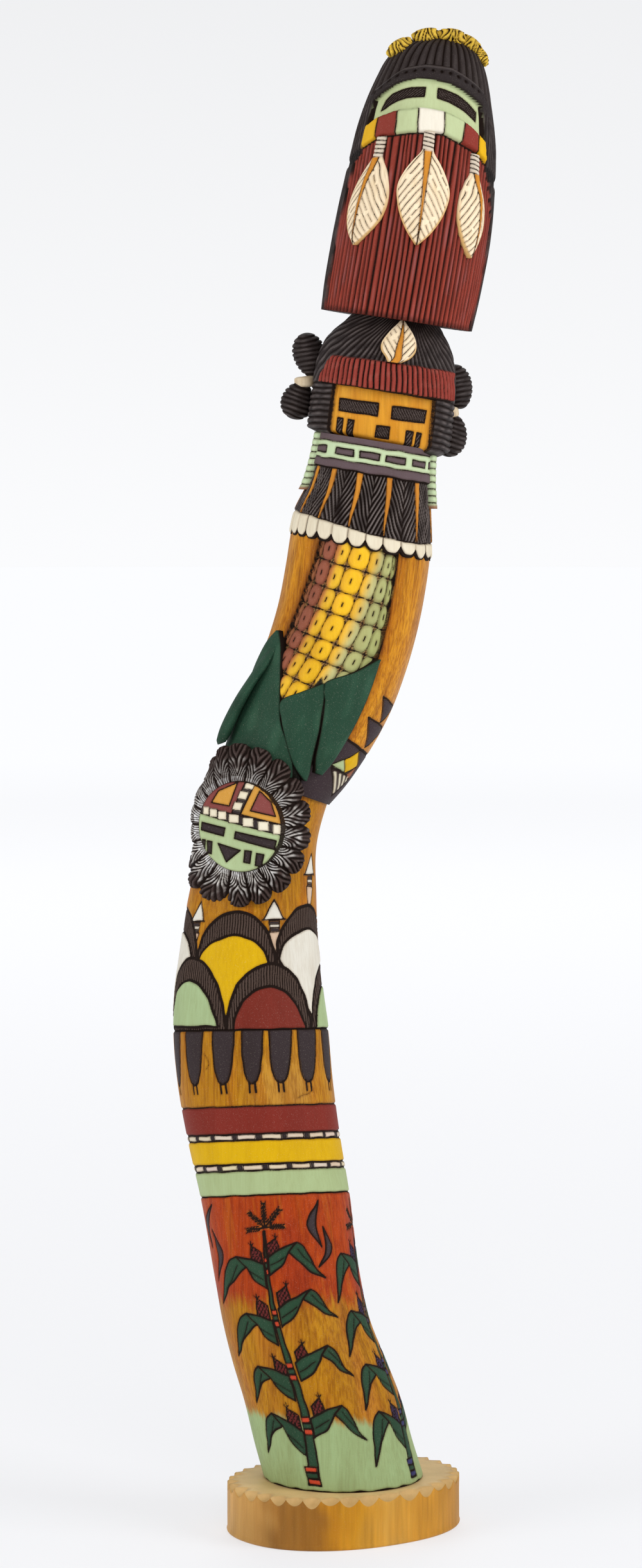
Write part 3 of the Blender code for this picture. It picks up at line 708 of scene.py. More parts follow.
# Trunk, bands: three painted hoops between burnt grooves with narrow strips of white blocks, and above
# them a bare zone with hanging dark tongues, each ended by two short strokes.
BAND_GREEN = tint(170, 187, 137)
BAND_YELLOW = tint(218, 173, 6)
BAND_RED = tint(128, 44, 34)
BLOCK_WHITE = tint(226, 218, 198)
SOOT_PURPLE = tint(54, 44, 46)
BELLY_FRONT_PALE = tint(196, 146, 66)
BELLY_DEEP = tint(196, 124, 24)
BANDS = ((114.4, 124.3, BAND_GREEN), (127.0, 136.5, BAND_YELLOW), (139.2, 150.3, BAND_RED))
STRIPS = ((124.3, 127.0), (136.5, 139.2))
BLOCKS_ROUND = 19
TONGUE_TOP = 181.5
TONGUE_TIP = 159.5
TONGUES_GIRTH = 193                # millimetres round, for the places of the tongues
TONGUES = ((-54.5, 10.4), (-40.4, 11.0), (-25.3, 10.2), (-10.9, 9.4), (1.1, 8.6), (12.7, 9.8), (25.6, 10.5),
           (41.2, 11.4), (55.5, 10.0), (69.3, 10.4), (83.0, 9.6), (96.5, 10.2), (110.3, 10.6), (124.2, 9.8))
SCRATCHES = (((-20.6, 172.0), (-19.2, 169.6), (-18.8, 168.0), (-20.2, 166.0)),
             ((17.4, 153.2), (20.0, 154.3), (22.3, 154.4), (24.9, 155.6)))


def within(value, low, high, soft):
    """1 between low and high, and 0 outside, with soft ends."""
    return ramp(low - soft, low + soft, value) * ramp(high + soft, high - soft, value)


def belly_bands():
    """Middle panel of the trunk with its hoops, blocks and tongues."""
    belly = Carving(TRUNK, round_angles(270), fine_heights(PANEL_TOP, TONGUE_TOP), OCHRE_WOOD, hand=0.1)
    x, h, y = belly.across, belly.height, belly.y
    # Paler toward the front, fading out upward between the heights of 158 and 178.
    belly.coat(ramp(22, 4, np.abs(x - 12)) * ramp(178, 158, h) * 0.55, BELLY_FRONT_PALE, 1.0)
    belly.stain(0.5, BELLY_DEEP, 1.0, (-0.2, 1.2), 8, 31, h * 0.15)
    belly.stain(0.45, WOOD_SHADE, 1.0, (0.3, 1.5), 5, 32, h * 0.1)
    for low, high, color in BANDS:
        belly.coat(within(y, low, high, 0.1), color, 0.15)
    chance = np.random.default_rng(9)
    for low, high in STRIPS:
        belly.coat(within(y, low, high, 0.1), SOOT_PURPLE * 0.8, 0.05)
        middle = (low + high) / 2
        for block in range(BLOCKS_ROUND):
            belly.measure_from(3.4 + 0.4 * chance.uniform(-1, 1) + block * belly.round / BLOCKS_ROUND)
            half = 3.8 + 0.3 * chance.uniform(-1, 1)
            shade = BLOCK_WHITE * (1, 1 - chance.uniform(0, 0.12), 1 - chance.uniform(0, 0.2))
            belly.fill(box(-half, half, middle - 0.95, middle + 0.95), shade, 0.05, edge=0.18)
    for around, width in TONGUES:
        belly.measure_from(around * belly.round / TONGUES_GIRTH)
        side = [(share * width / 2, height) for share, height in (
            (1, TONGUE_TOP + 2), (0.98, 178), (0.84, 168.5), (0.62, 163.0), (0.34, 160.3), (0, TONGUE_TIP))]
        both = side + [(-right, height) for right, height in side[-2::-1]]
        outline = curved([(right - 0.09 * (TONGUE_TOP - height), height) for right, height in both])
        belly.fill(outline, SOOT_PURPLE, 0.05)
        for stroke in (-3.15, -0.85):
            belly.line([(stroke, 160.2), (stroke * 1.04, 156.0)], 0.42)
    belly.measure_from(0)
    for scratch in SCRATCHES:
        belly.line(curved(scratch), 0.10)
    for edge in [edge for band in BANDS for edge in band[:2]]:
        belly.ring_line(edge, 0.30, dip=0)
        belly.rise -= 0.35 * ramp(1.0, 0.0, np.abs(y - edge))
    belly.ring_line(TONGUE_TOP, 0.4, 0.3)
    belly.piece("banded_belly", wood_finish("painted_bands", 0.6, 0.45))


belly_bands()


# Trunk, upper panel: clouds in two rows, each a painted field under an arch that is hatched with burnt
# strokes, and small arrows that stand between them. The bare neck of the root goes on above.
CLOUD_YELLOW = tint(214, 170, 8)
CLOUD_WHITE = tint(224, 220, 208)
CLOUD_GREEN = tint(168, 190, 142)
CLOUD_RED = tint(120, 44, 33)
ARCH_DARK = tint(92, 77, 70)
ARROW_STEM = tint(212, 186, 162)
NECK_DEEP = tint(190, 112, 20)
NECK_TOP = 290.0
CLOUDS_ROUND = 5
LOW_ARCH = ((-19.6, 180), (-18.4, 186), (-16.3, 193.5), (-11.8, 202), (-6.2, 206.6), (0, 208.2),
            (6.6, 206.4), (13.6, 199.2), (17.2, 191.5), (18.9, 185), (19.8, 180))
LOW_FIELD = ((-16.4, 180), (-15.2, 186), (-12.6, 191.5), (-7.6, 196.9), (0.2, 199.1), (7.2, 196.3),
             (12.8, 189.2), (15.6, 183), (16.4, 180))
HIGH_ARCH = ((-18.6, 208), (-17.4, 214.5), (-13.5, 222.3), (-7.2, 227.9), (0.3, 229.8), (7.6, 227.2),
             (13.2, 220.4), (15.8, 214), (17.0, 208))
HIGH_FIELD = ((-17.4, 208), (-16.4, 211.6), (-9.8, 217.6), (0.3, 220.2), (9.0, 216.8), (13.8, 209.4),
              (14.6, 206), (-3.4, 184))
CLOUD_ROWS = (                     # arch, field, start, then colour and lift of each cloud
    (HIGH_ARCH, HIGH_FIELD, -5.5, ((CLOUD_YELLOW, 0), (CLOUD_WHITE, 2), (CLOUD_RED, 0), (CLOUD_YELLOW, 0),
                                   (CLOUD_WHITE, 2))),
    (LOW_ARCH, LOW_FIELD, 9.4, ((CLOUD_RED, 0), (CLOUD_GREEN, 0), (CLOUD_YELLOW, 0), (CLOUD_RED, 0),
                                (CLOUD_GREEN, 3))))
FIELD_DEPTH = 0.35


def cloud(panel, arch, field, color, lift):
    """Hatched arch with its painted field, which stands a little lower."""
    arch, field = np.array(arch) + (0, lift), np.array(field) + (0, lift)
    arch = np.concatenate([curved(arch), [arch[-1] - (0, 4), arch[0] - (0, 4)]])
    panel.fill(arch, ARCH_DARK, 0.1, edge=0.6, rise=-0.1)
    low, high = field[0][1] - 4, arch[:, 1].max()
    strokes = np.arange(-18.5, 19, 1.12) + 0.075
    panel.hatch(arch, strokes, (low + high) / 2, 0.15 / (high - low), (high - low) / 2, 0.24)
    panel.fill(np.concatenate([curved(field[:-1]), field[-1:]]), color, 0.22, edge=0.5, rise=FIELD_DEPTH)


def arrow(panel, tip, lean, length=26.0):
    """White point over three short bars and a pale stem that runs down to nothing."""
    def at(*points):
        return [(tip[0] + x + y * lean, tip[1] + y) for x, y in points]
    panel.fill(at((0, -13.3), (2.9, -13.3), (0.4, -length), (-2.9, -13.3)), ARROW_STEM, 0.2, edge=0.26)
    for low, color in ((-13.3, SOOT_PURPLE), (-11.7, CLOUD_WHITE), (-10.3, SOOT_PURPLE)):
        panel.fill(at((-2.3, low), (2.2, low), (2.2, low + 1.5), (-2.3, low + 1.5)), color, 0.1, edge=0.22)
    panel.fill(at((-4.6, -8.3), (4.2, -8.3), (0, 0)), CLOUD_WHITE, 0.08, edge=0.3)
    panel.line(at((-5.2, -8.3), (4.8, -8.3)), 0.3)


def cloud_panel():
    """Upper panel of the trunk with its clouds and arrows."""
    neck = Carving(TRUNK, round_angles(270), fine_heights(TONGUE_TOP, NECK_TOP), OCHRE_WOOD)
    neck.stain(0.6, NECK_DEEP, 1.0, (-0.4, 1.2), 9, 41, neck.height * 0.15)
    neck.stain(0.4, WOOD_SHADE, 1.0, (0.4, 1.6), 5, 42, neck.height * 0.1)
    for turn in range(CLOUDS_ROUND):
        neck.measure_from(-5.5 + (turn + 0.45) * neck.round / CLOUDS_ROUND)
        arrow(neck, (0.4, 234.6), 0.16 if turn == CLOUDS_ROUND - 1 else -0.02)
    neck.measure_from(0)
    arrow(neck, (29.0, 252.4), 0.0)
    for arch, field, start, clouds in CLOUD_ROWS:
        for turn, (color, lift) in enumerate(clouds):
            neck.measure_from(start + turn * neck.round / CLOUDS_ROUND)
            cloud(neck, arch, field, color, lift)
    neck.measure_from(0)
    neck.ring_line(TONGUE_TOP, 0.4, 0.3)
    neck.piece("cloud_panel", wood_finish("painted_clouds", 0.6, 0.45, relief=0.4))


cloud_panel()


# Sun face and its feathers: a domed round boss in a wreath of rounded feathers, which is cut from the
# same wood and bends round the neck. The feathers are dark and whitened with a dry brush beside the face,
# with a painted highlight on their barb ridges and painted shade toward each lobe's edges.
DISC_MIDDLE = (-39.6, -7.5, 267.6)
DISC_TURN = math.radians(24.0)
DISC_RADIUS = 18.4
FEATHER_RADIUS = 33.0
FEATHER_LOBES = 18
FEATHER_SHIFT = -2.8
NECK_RADIUS = 27.5
WREATH_SPREAD = 6.5                # at its lower left, where the trunk widens
FEATHER_DARK = tint(62, 49, 47)
FEATHER_RIDGE_HIGHLIGHT = tint(112, 98, 94)
FEATHER_WHITE = tint(234, 236, 236)
DISC_GREEN = tint(178, 197, 150)
DISC_MAROON = tint(134, 70, 66)
DISC_OCHRE = tint(210, 154, 66)
DISC_WHITE = tint(238, 230, 206)
DISC_RIM = curved([(DISC_RADIUS * 1.05 * math.cos(a), DISC_RADIUS * 1.05 * math.sin(a))
                   for a in np.linspace(3.3, -0.16, 14)])
DISC_FIELDS = (([(-20, 8.0), *DISC_RIM, (20, 0.9), (-2.0, 4.8)], DISC_MAROON),
               ([(0.0, 5.2), (6.4, 18.8), (22, 22), (22, 0.6)], DISC_OCHRE),
               ([(-13.2, 9.4), (-10.2, 14.2), (-1.7, 17.9), (-4.9, 8.4)], DISC_OCHRE),
               ([(8.1, 14.8), (13.0, 10.5), (15.0, 4.8), (4.5, 6.8)], DISC_MAROON),
               ([(-20, 7.9), (0, 4.7), (20, 0.8), (20, -3.2), (0, 1.1), (-20, 5.3)], SOOT_PURPLE))
BAR_BLOCKS = ((-15.6, 1.4), (-12.1, 1.75), (-8.0, 1.95), (-2.7, 2.3), (3.5, 2.3), (10.1, 2.25), (15.8, 1.8))
POST_BLOCKS = ((-1.2, 8.5), (1.0, 12.9), (3.6, 17.0))
DISC_MARKS = (((-17.4, 1.2), (-6.7, -0.6), (-7.4, -3.8), (-17.8, -1.8)),
              ((-1.9, -1.9), (15.3, -5.0), (14.4, -8.5), (-2.4, -4.6)),
              ((-17.4, -5.8), (-16.0, -5.8), (-16.5, -10.2), (-17.4, -9.8)),
              ((-15.0, -6.2), (-12.8, -6.4), (-13.4, -11.3), (-15.1, -11.0)),
              ((2.0, -9.4), (4.75, -9.6), (3.8, -14.5), (1.2, -14.1)),
              ((7.0, -10.4), (10.0, -10.8), (8.6, -15.5), (6.1, -15.3)),
              ((-9.9, -7.0), (-0.1, -9.4), (-6.6, -14.3)))


def on_disc(across, up, out):
    """Point over the flat plane of the sun face."""
    return np.stack([DISC_MIDDLE[0] + across * math.cos(DISC_TURN) - out * math.sin(DISC_TURN),
                     DISC_MIDDLE[1] - across * math.sin(DISC_TURN) - out * math.cos(DISC_TURN),
                     DISC_MIDDLE[2] + up], -1)


def round_neck(across, up, out):
    """Point over the plane of the feathers, which bends round the neck away from the face."""
    radius = np.hypot(across, up)
    across = across * np.where(across > 0, 0.9, 1.0) + FEATHER_SHIFT * radius / FEATHER_RADIUS
    bend = across / NECK_RADIUS - DISC_TURN
    axis = np.array(DISC_MIDDLE[:2]) + np.array((math.sin(DISC_TURN), math.cos(DISC_TURN))) * NECK_RADIUS
    bent = np.stack([axis[0] + (NECK_RADIUS + out) * np.sin(bend),
                     axis[1] - (NECK_RADIUS + out) * np.cos(bend), DISC_MIDDLE[2] + up], -1)
    bent[..., 0] -= (WREATH_SPREAD * ramp(-3, -24, up) - 2.5 * ramp(3, 24, up)) * ramp(-4, -22, across)
    share = (ramp(31, 19.5, radius) * 0.85)[..., None]
    return bent * (1 - share) + on_disc(across, up, out) * share


class Roundel(Carving):
    """Carving on a round boss. Its places are given across and up from the boss's middle."""

    def __init__(self, profile, columns, lay, color, bare):
        radius, self.out = [np.array(values)[:, None] for values in zip(*profile)]
        turn = np.linspace(0, 2 * math.pi, columns + 1)
        self.turn, self.radius = turn + 0 * radius, radius + 0 * turn
        self.lay = lay
        self.x, self.y = self.radius * np.cos(turn), self.radius * np.sin(turn)
        self.blank(color, bare)

    def surface(self, out):
        """Points of the boss, laid on its plane."""
        return self.lay(self.radius * np.cos(self.turn), self.radius * np.sin(self.turn), self.out + out)


def sun_feathers():
    """Wreath of feathers with slanting barbs, whitened with a dry brush toward the face. The barb ridges
    get a painted highlight, and the white thins toward each lobe's edges as painted shade.
    """
    profile = [(0.01, -6), (20, -6), (28, -4.5), (31.5, -2.6), (32.6, -1.4), (33.1, -0.3), (33.2, 0.5),
               (32.9, 1.3), (32.3, 1.8), *((31.6 - 0.45 * step, 2.0 + 2.3 * step / 28) for step in range(29)),
               (17.6, 4.3), (0.01, 4.3)]
    mat = Roundel(profile, FEATHER_LOBES * 26, round_neck, FEATHER_DARK, 0.3)
    count = mat.turn / (2 * math.pi) * FEATHER_LOBES
    wide = np.random.default_rng(12).uniform(-0.10, 0.10, FEATHER_LOBES)
    t = (count % 1) * 2 - 1
    t = np.clip(t * (1 + wide[np.floor(count).astype(int) % FEATHER_LOBES] * (1 - t * t)), -1, 1)
    half_width = mat.radius * math.pi / FEATHER_LOBES
    steep = 2.4 + 2.4 * ramp(27, 20, mat.radius)
    barbs = (mat.radius - steep * np.abs(t * half_width)) / 4.4 + 0.25 * waver(mat.x, mat.y, 9, 52)
    barbs = barbs + np.where(t > 0, 0.35, 0)
    ridge = mat.furrow(barbs, 1.5, 0.28, 0.9, ramp(19.4, 20.4, mat.radius))
    mat.scorch((1 - np.abs(t)) * half_width - 0.4)
    mat.rise += ramp(19, 24, mat.radius) * (0.9 * (1 - t * t) - 0.5 + 0.35 * t)
    mat.radius -= 3.1 * np.abs(t) ** 3.5 * ramp(21, 33, mat.radius)
    # Painted highlight: the barb ridges are coated lighter.
    mat.coat(ramp(0.5, 1.0, ridge) * 0.35, FEATHER_RIDGE_HIGHLIGHT, 0.4)
    brushed_white_and_lobe_shade = ramp(29.0, 22.5, mat.radius + 2.4 * waver(mat.x, mat.y, 4, 53)) * ramp(0.34, 0.66, ridge)
    brushed_white_and_lobe_shade *= np.clip(1.1 + 0.5 * waver(mat.x, mat.y, 4, 54), 0.15, 1) * (1 - 0.6 * ramp(3, 24, mat.y))
    # Less white toward each lobe's edges: painted shade between the lobes.
    brushed_white_and_lobe_shade *= (1 - 0.5 * ramp(-19, -28, mat.x)) * (1 - 0.6 * ramp(0.68, 1.0, np.abs(t)))
    mat.coat(brushed_white_and_lobe_shade, FEATHER_WHITE, 0.35)
    mat.piece("sun_feathers", wood_finish("dry_brushed_feathers", 0.5, 0.5, 0.2, 0.5), 0.35)


def sun_face():
    """Domed disc with its painted fields, a bar and a post of blocks, and the marks of a face."""
    dome = [(17.7 - 0.42 * step, 6.5 + 1.7 * (1 - (1 - step / 42) ** 2)) for step in range(42)]
    profile = [(0.01, -3), (18, -3), (18.4, -2.6), (18.4, 1.5), (18.4, 5.4), (18.25, 6.1), *dome]
    face = Roundel(profile, 270, on_disc, DISC_GREEN, 0.15)
    face.x = face.x - 1.1
    for outline, color in DISC_FIELDS:
        face.fill(outline, color, 0.08, 0.26)
    for x, half in BAR_BLOCKS:
        top, low = 4.7 - 0.19 * x, 1.1 - 0.215 * x
        corners = [(x - half, low), (x + half, low - 0.1), (x + half, top - 0.1), (x - half, top)]
        face.fill(corners, DISC_WHITE, 0.08, 0.12)
    face.fill([(-3.7, 5.6), (0.1, 5.0), (6.3, 18.4), (2.2, 19.4)], SOOT_PURPLE, 0.08, 0.26)
    for x, y in POST_BLOCKS:
        corners = [(x - 2.5, y - 1.4), (x + 1.4, y - 1.8), (x + 2.5, y + 1.3), (x - 1.4, y + 1.7)]
        face.fill(corners, DISC_WHITE, 0.08, 0.14)
    for outline in DISC_MARKS:
        face.fill(outline, SOOT_PURPLE, 0.1, 0.3)
    face.scorch(np.where(face.out > 6.1, np.abs(face.radius - 18.3) - 0.25, -0.1))
    face.piece("sun_face", wood_finish("painted_sun_face", 0.5, 0.4, 0.25))


sun_feathers()
sun_face()


# Robe and ear of maize: the two sides of an ochre robe with a patterned cuff, and between them the
# bulging ear, whose kernels are rounded squares between burnt lines. The leaves of its husk lie over it.
MANTLE = [
    (-50.5, 289.5, -6, 273.4, 20, 26, 25, 2), (-46.5, 300, 0.6, 281, 20, 27.4, 26, 2),
    (-42.5, 310.5, 7.3, 290.5, 20, 28.4, 27, 1.8), (-38.5, 321, 14, 301.5, 19.8, 28.8, 27.4, 1.5),
    (-34.6, 332, 19.9, 313.5, 19.4, 28.8, 27.4, 1.2), (-30.4, 343, 25.2, 328, 19, 28.6, 27.4, 1),
    (-26.6, 356, 29.6, 343.5, 18.4, 28.4, 27.4, 0.8), (-23.6, 371.5, 33, 360.5, 17.8, 28.2, 27.2, 0.6),
    (-21, 387.5, 35, 377, 17.4, 28, 27, 0.6), (-18, 400, 35, 391, 17.2, 27, 26.5, 0.6)]
COB_LINES_LOW = (-54, -48, -35, -23, -7.6, 5.2, 19.5, 33.5)             # angles at the height of 330
COB_LINES_HIGH = (-38.5, -33.4, -21.6, -9.7, 6.0, 18.3, 27.6, 32.6)     # and of 370
COB_ROWS = (301, 311, 320.5, 331, 339.2, 350.5, 359.8, 370.2, 380.2, 390, 400)
COB_BULGE = 1.4
COB_EDGE = -2.4
COB_FOOT = (300.0, 312.0)
KERNEL_SQUARENESS = 2.6
KERNEL_COLORS = ((152, 96, 62), (146, 86, 66), (230, 174, 58), (244, 190, 40), (236, 184, 58),
                 (178, 178, 118), (168, 172, 110))                      # at each kernel's left side
KERNEL_TURNS = ((150, 94, 62), (150, 88, 66), (234, 186, 48), (244, 192, 40), (186, 184, 128),
                (174, 178, 118), (166, 170, 108))                       # and at its right side
KERNEL_TINGES = np.array((0, 0, 0.75, 0.15, 0, 0, 0))
KERNEL_RED = tint(176, 96, 66)
COB_CORNER = tint(164, 128, 80)
ROBE_OCHRE = tint(222, 154, 32)
ROBE_EDGE_SHADE = tint(166, 92, 8)
ROBE_SHADOW = tint(104, 52, 8)
ROBE_STREAK = tint(186, 112, 12)
ROBE_BACK = tint(194, 142, 84)
HUSK_GAP_SHADE = tint(34, 34, 26)
ROBE_GAP = ((-3, 326), (1.4, 320), (6, 310), (10, 300), (15, 290), (19, 282), (4, 282), (-2, 300), (-6, 316))
CUFF_PURPLE = tint(58, 46, 50)
CUFF = ((15.6, 307.5), (29.7, 304.9), (41, 304), (60, 303), (80, 303), (80, 270), (39, 270), (8, 270),
        (8, 292))
CUFF_PATCHES = (
    (((16.9, 296.2), (22.7, 299.7), (27.5, 295.0)), DISC_GREEN, 0.1, 0.26),
    (((22.7, 299.7), (28.8, 304.2), (35.6, 298.8), (27.5, 295.0)), BAND_YELLOW, 0.1, 0.26),
    (((29.0, 294.4), (35.6, 298.8), (35.6, 293.7)), tint(150, 92, 62), 0.3, 0.2),
    (((18.0, 295.4), (27.5, 295.0), (35.6, 293.4), (29.9, 285.3)), tint(52, 36, 32), 0.3, 0.3))
ROBE_POINTS = (((23.6, 317), (44.6, 314.3), (32, 306.1)), ((27.3, 325.5), (44.9, 322.9), (34.2, 316.2)))


def robe_and_ear():
    """Sides of the robe with their cuff and points, and the ear between them."""
    robe = Carving(MANTLE, round_angles(264), np.linspace(281.5, 395.5, 236), ROBE_OCHRE, hand=0.12)
    x, h, degree, side = robe.across, robe.height, robe.degree(), np.abs(robe.angle)
    lines = np.stack([low + (high - low) * (h - 330) / 40
                      for low, high in zip(COB_LINES_LOW, COB_LINES_HIGH)])
    angle = robe.angle + robe.waver * 2
    column = np.clip((angle > lines).sum(axis=0) - 1, 0, 6)
    left, right = (np.take_along_axis(lines, which[None], axis=0)[0] for which in (column, column + 1))
    u = 2 * (angle - left) / (right - left) - 1
    wide = (right - left) * degree / 2
    level = robe.y + 0.1 * x
    row = np.clip(np.searchsorted(COB_ROWS, level) - 1, 0, len(COB_ROWS) - 2)
    low, high = np.array(COB_ROWS)[row], np.array(COB_ROWS)[row + 1]
    v = 2 * (level - low) / (high - low) - 1
    tall = (high - low) / 2
    middle = 2 * (angle - lines[0]) / (lines[-1] - lines[0]) - 1
    to_edge = np.minimum(angle - lines[0], lines[-1] - angle) * degree
    kernel = (np.abs(u) ** KERNEL_SQUARENESS + np.abs(v) ** KERNEL_SQUARENESS) ** (1 / KERNEL_SQUARENESS)

    chance = np.random.default_rng(21).uniform(-1, 1, (len(COB_ROWS), 7))[row, column][..., None]
    first, last = (np.array([tint(*color) for color in colors])[column]
                   for colors in (KERNEL_COLORS, KERNEL_TURNS))
    color = first + (last - first) * ramp(-0.8, 0.8, u + 0.15 * chance[..., 0])[..., None]
    color = color + (KERNEL_RED - color) * (ramp(0.0, -0.7, u) * KERNEL_TINGES[column])[..., None]
    color = color * (1 + 0.08 * chance)
    corner = ramp(0.0, 0.12, kernel - 1)[..., None]
    ear = np.concatenate([color + (COB_CORNER - color) * corner, 0.15 + 0.4 * corner], -1)
    # Painted shade where the robe turns in beside the ear: deeper orange within 10 mm of it, and a painted
    # shadow within 3.5 mm.
    robe.coat(ramp(10, 0, -to_edge) * 0.7, ROBE_EDGE_SHADE, 1.0)
    robe.coat(ramp(3.5, 0.5, -to_edge) * 0.6, ROBE_SHADOW, 1.0)
    robe.stain(0.55, ROBE_STREAK, 1.0, (0.0, 1.2), 5, 61, h * 0.12)
    robe.stain(0.4, WOOD_SHADE, 1.0, (0.3, 1.5), 4, 62, h * 0.1)
    robe.coat(ramp(58, 78, side) * 0.5, ROBE_BACK, 1.0)
    inside = ramp(-0.15, 0.15, to_edge)[..., None]
    robe.paint = robe.paint * (1 - inside) + ear * inside

    between_kernels = np.minimum((1 - np.abs(v)) * tall - 0.22, (1 - np.abs(u)) * wide - 0.16)
    rim = np.abs((1 - kernel) * np.minimum(wide, tall)) - 0.05
    tick = np.hypot(u * wide, np.maximum(np.abs(v * tall) - 0.85, 0)) - 0.27
    hatch = np.where(kernel > 1.02, np.abs((u * wide + v * tall * 1.3) % 0.9 - 0.45) - 0.06, UNBURNT)
    for mark in (between_kernels, rim, tick, hatch):
        robe.scorch(mark, to_edge > 0)
    robe.scorch(np.abs(to_edge + 0.1) - 0.26)
    bulge = COB_EDGE + (COB_BULGE - COB_EDGE) * np.sqrt(np.clip(1 - middle ** 2, 0, 1)) - 0.4
    bulge = bulge + 0.9 * np.clip(1 - kernel ** 4, 0, 1)
    robe.rise = bulge * ramp(-0.25, 0.25, to_edge) * ramp(*COB_FOOT, h)
    robe.rise -= 2.8 * ramp(381.0, 384.5, h)
    # Painted shade: the gap under the husk's leaves is painted near black.
    robe.fill(ROBE_GAP, HUSK_GAP_SHADE, 0.3, 0)

    robe.fill(CUFF, CUFF_PURPLE, 0.1, 0.5)
    robe.coat(ramp(70, 74, side) * ramp(303.2, 302.8, robe.y), CUFF_PURPLE, 0.1)
    for patch in CUFF_PATCHES:
        robe.fill(*patch)
    for step in range(4):
        top, foot, low = 20.4 + 3.7 * step, 28.9 + 1.4 * step, 286.6 + 1.9 * step
        robe.fill([(top, 294.4), (top + 1.7, 294.2), (foot + 1.3, low), (foot, low)], DISC_WHITE, 0.2, 0)
    for around in (0, 44, 88):
        robe.measure_from(around)
        for corners in ROBE_POINTS:
            robe.fill(corners, CUFF_PURPLE)
    robe.piece("robe_and_ear", wood_finish("stained_robe_and_ear", 0.7, 0.55, relief=0.4))


robe_and_ear()


# Husk: three broad green leaves that meet in a V over the foot of the ear, carved in the solid, and a
# free one that stands off at the left side. The edges are rounded and scuffed.
HUSK_GREEN = tint(38, 70, 53)
HUSK_PALE = tint(58, 96, 74)
HUSK_LEAVES = {                    # thickness, and the height and edge angles of each section
    "left": (2.6, ((284.3, -72, 13), (290, -76, 6), (296, -79, -4), (303, -80, -19), (312.5, -80, -30),
                   (325, -77, -41), (334, -70, -49.5), (339, -61, -56))),
    "centre": (3.2, ((287, 19, 23), (290, 8, 21.2), (295, -4, 16.6), (300, -13, 13.2), (305, -21, 10.4),
                     (312.5, -28, 5.4), (318, -15.5, 2.6), (323.6, -3, -1.8))),
    "right": (3.4, ((291, 24.5, 32), (296, 18.2, 34.0), (301.6, 14.0, 34.6), (308.3, 9.4, 34.6),
                    (317, 3.6, 34.6), (324, -1.6, 34.4), (331, 16.5, 34.0), (337.6, 31, 33.4)))}
FREE_LEAF = np.array((             # front edge, back edge and half the thickness of each section
    (-26.5, 0.5, 340.5, -30.0, 8.0, 339.0, 1.0), (-31.5, -1.5, 331.5, -36.5, 9.0, 328.5, 1.8),
    (-38.0, -1.0, 322.0, -43.0, 11.0, 318.0, 2.0), (-44.0, 1.0, 310.5, -48.5, 12.0, 307.0, 2.0),
    (-48.0, 3.0, 300.5, -51.0, 10.5, 299.0, 1.7)))


class Blade(Carving):
    """Leaf or feather that lies on a form. Each section gives its height and the angles of its two
    edges, and its back is sunk into the form."""

    def __init__(self, form, sections, thickness, color, bare, edge=0.5, sink=1.5, pitch=0.45, columns=48):
        sections = np.array(sorted(sections), float)
        low, high = sections[[0, -1], 0]
        heights = np.linspace(low, high, max(8, round((high - low) / pitch)))
        _, left, right = through(sections[:, 0], sections, heights).T[..., None]
        ease = (1 - np.cos(np.linspace(0, math.pi, columns))) / 2 * 0.5 + np.linspace(0, 1, columns) * 0.5
        self.form = form
        self.share = np.concatenate([ease, [1.0, 0.85, 0.5, 0.15, 0.0, 0.0]])
        self.front = np.ones(len(self.share))
        self.front[columns:-1] = 0
        self.angle = left + (right - left) * self.share
        self.height = np.broadcast_to(heights[:, None], self.angle.shape)
        crown = edge + (1 - edge) * (1 - np.abs(2 * self.share - 1) ** 2.6)
        self.base = np.where(self.front > 0, thickness * crown, -sink)
        turn = np.linspace(-180, 180, 181)
        self.x = self.across = np.stack([np.interp(angles, turn, row) for angles, row
                                         in zip(self.angle, distance_round(form, turn, heights))])
        self.y = self.height
        self.width = self.x[:, columns - 1][:, None] - self.x[:, :1]
        self.to_rim = np.minimum(self.share, 1 - self.share) * self.width
        self.blank(color, bare)

    def surface(self, out):
        """Points of the blade, whose back stays where it is."""
        return skin(self.form, self.angle, self.height, self.base + out * self.front)


def free_leaf():
    """Loose leaf of the husk, with a rounded tip."""
    along = np.linspace(0, len(FREE_LEAF) - 1, 90)
    rows = through(np.arange(len(FREE_LEAF)) * 1.0, FREE_LEAF, along)
    front, back, half = rows[:, None, :3], rows[:, None, 3:6], rows[:, None, 6:]
    half = half * np.minimum(1, np.sqrt(np.clip((4.04 - along) / 0.35, 0, 1)))[:, None, None]
    turn = np.linspace(0, 2 * math.pi, 41)[:, None]
    out = np.array([-0.85, -0.35, -0.4]) * half * 1.7
    points = ended((front + back) / 2 + (front - back) / 2 * np.cos(turn) + out * np.sin(turn), drawn_in=True)
    paint = np.tile([*HUSK_GREEN, 0.15], points.shape[:2] + (1,))
    paint[..., :3] *= (1 + 0.18 * waver(points[..., 2], points[..., 0], 9, 74))[..., None]
    carved("husk_free", points, paint, np.full(points.shape[:2], UNBURNT), husk_finish)


husk_finish = wood_finish("painted_husk", 0.45, 0.55, 0.25, 0.45)
for side, (thickness, sections) in HUSK_LEAVES.items():
    leaf = Blade(MANTLE, sections, thickness, HUSK_GREEN, 0.15, edge=0.72, sink=3.5, pitch=0.6, columns=56)
    leaf.stain(0.4, HUSK_PALE, 0.2, (0.0, 1.4), 7, 71, leaf.y * 0.4)
    inner = ramp(0, 0.15, leaf.share) * ramp(1, 0.85, leaf.share)
    leaf.rise += 0.25 * waver(leaf.x, leaf.y * 0.3, 14, 72) * inner
    leaf.scorch(leaf.to_rim - 0.15)
    # Painted shade: the leaf's edge walls and sunk back are painted darker than its face.
    leaf.paint[..., :3] *= (0.25 + 0.75 * leaf.front)[:, None]
    leaf.piece("husk_" + side, husk_finish)
free_leaf()


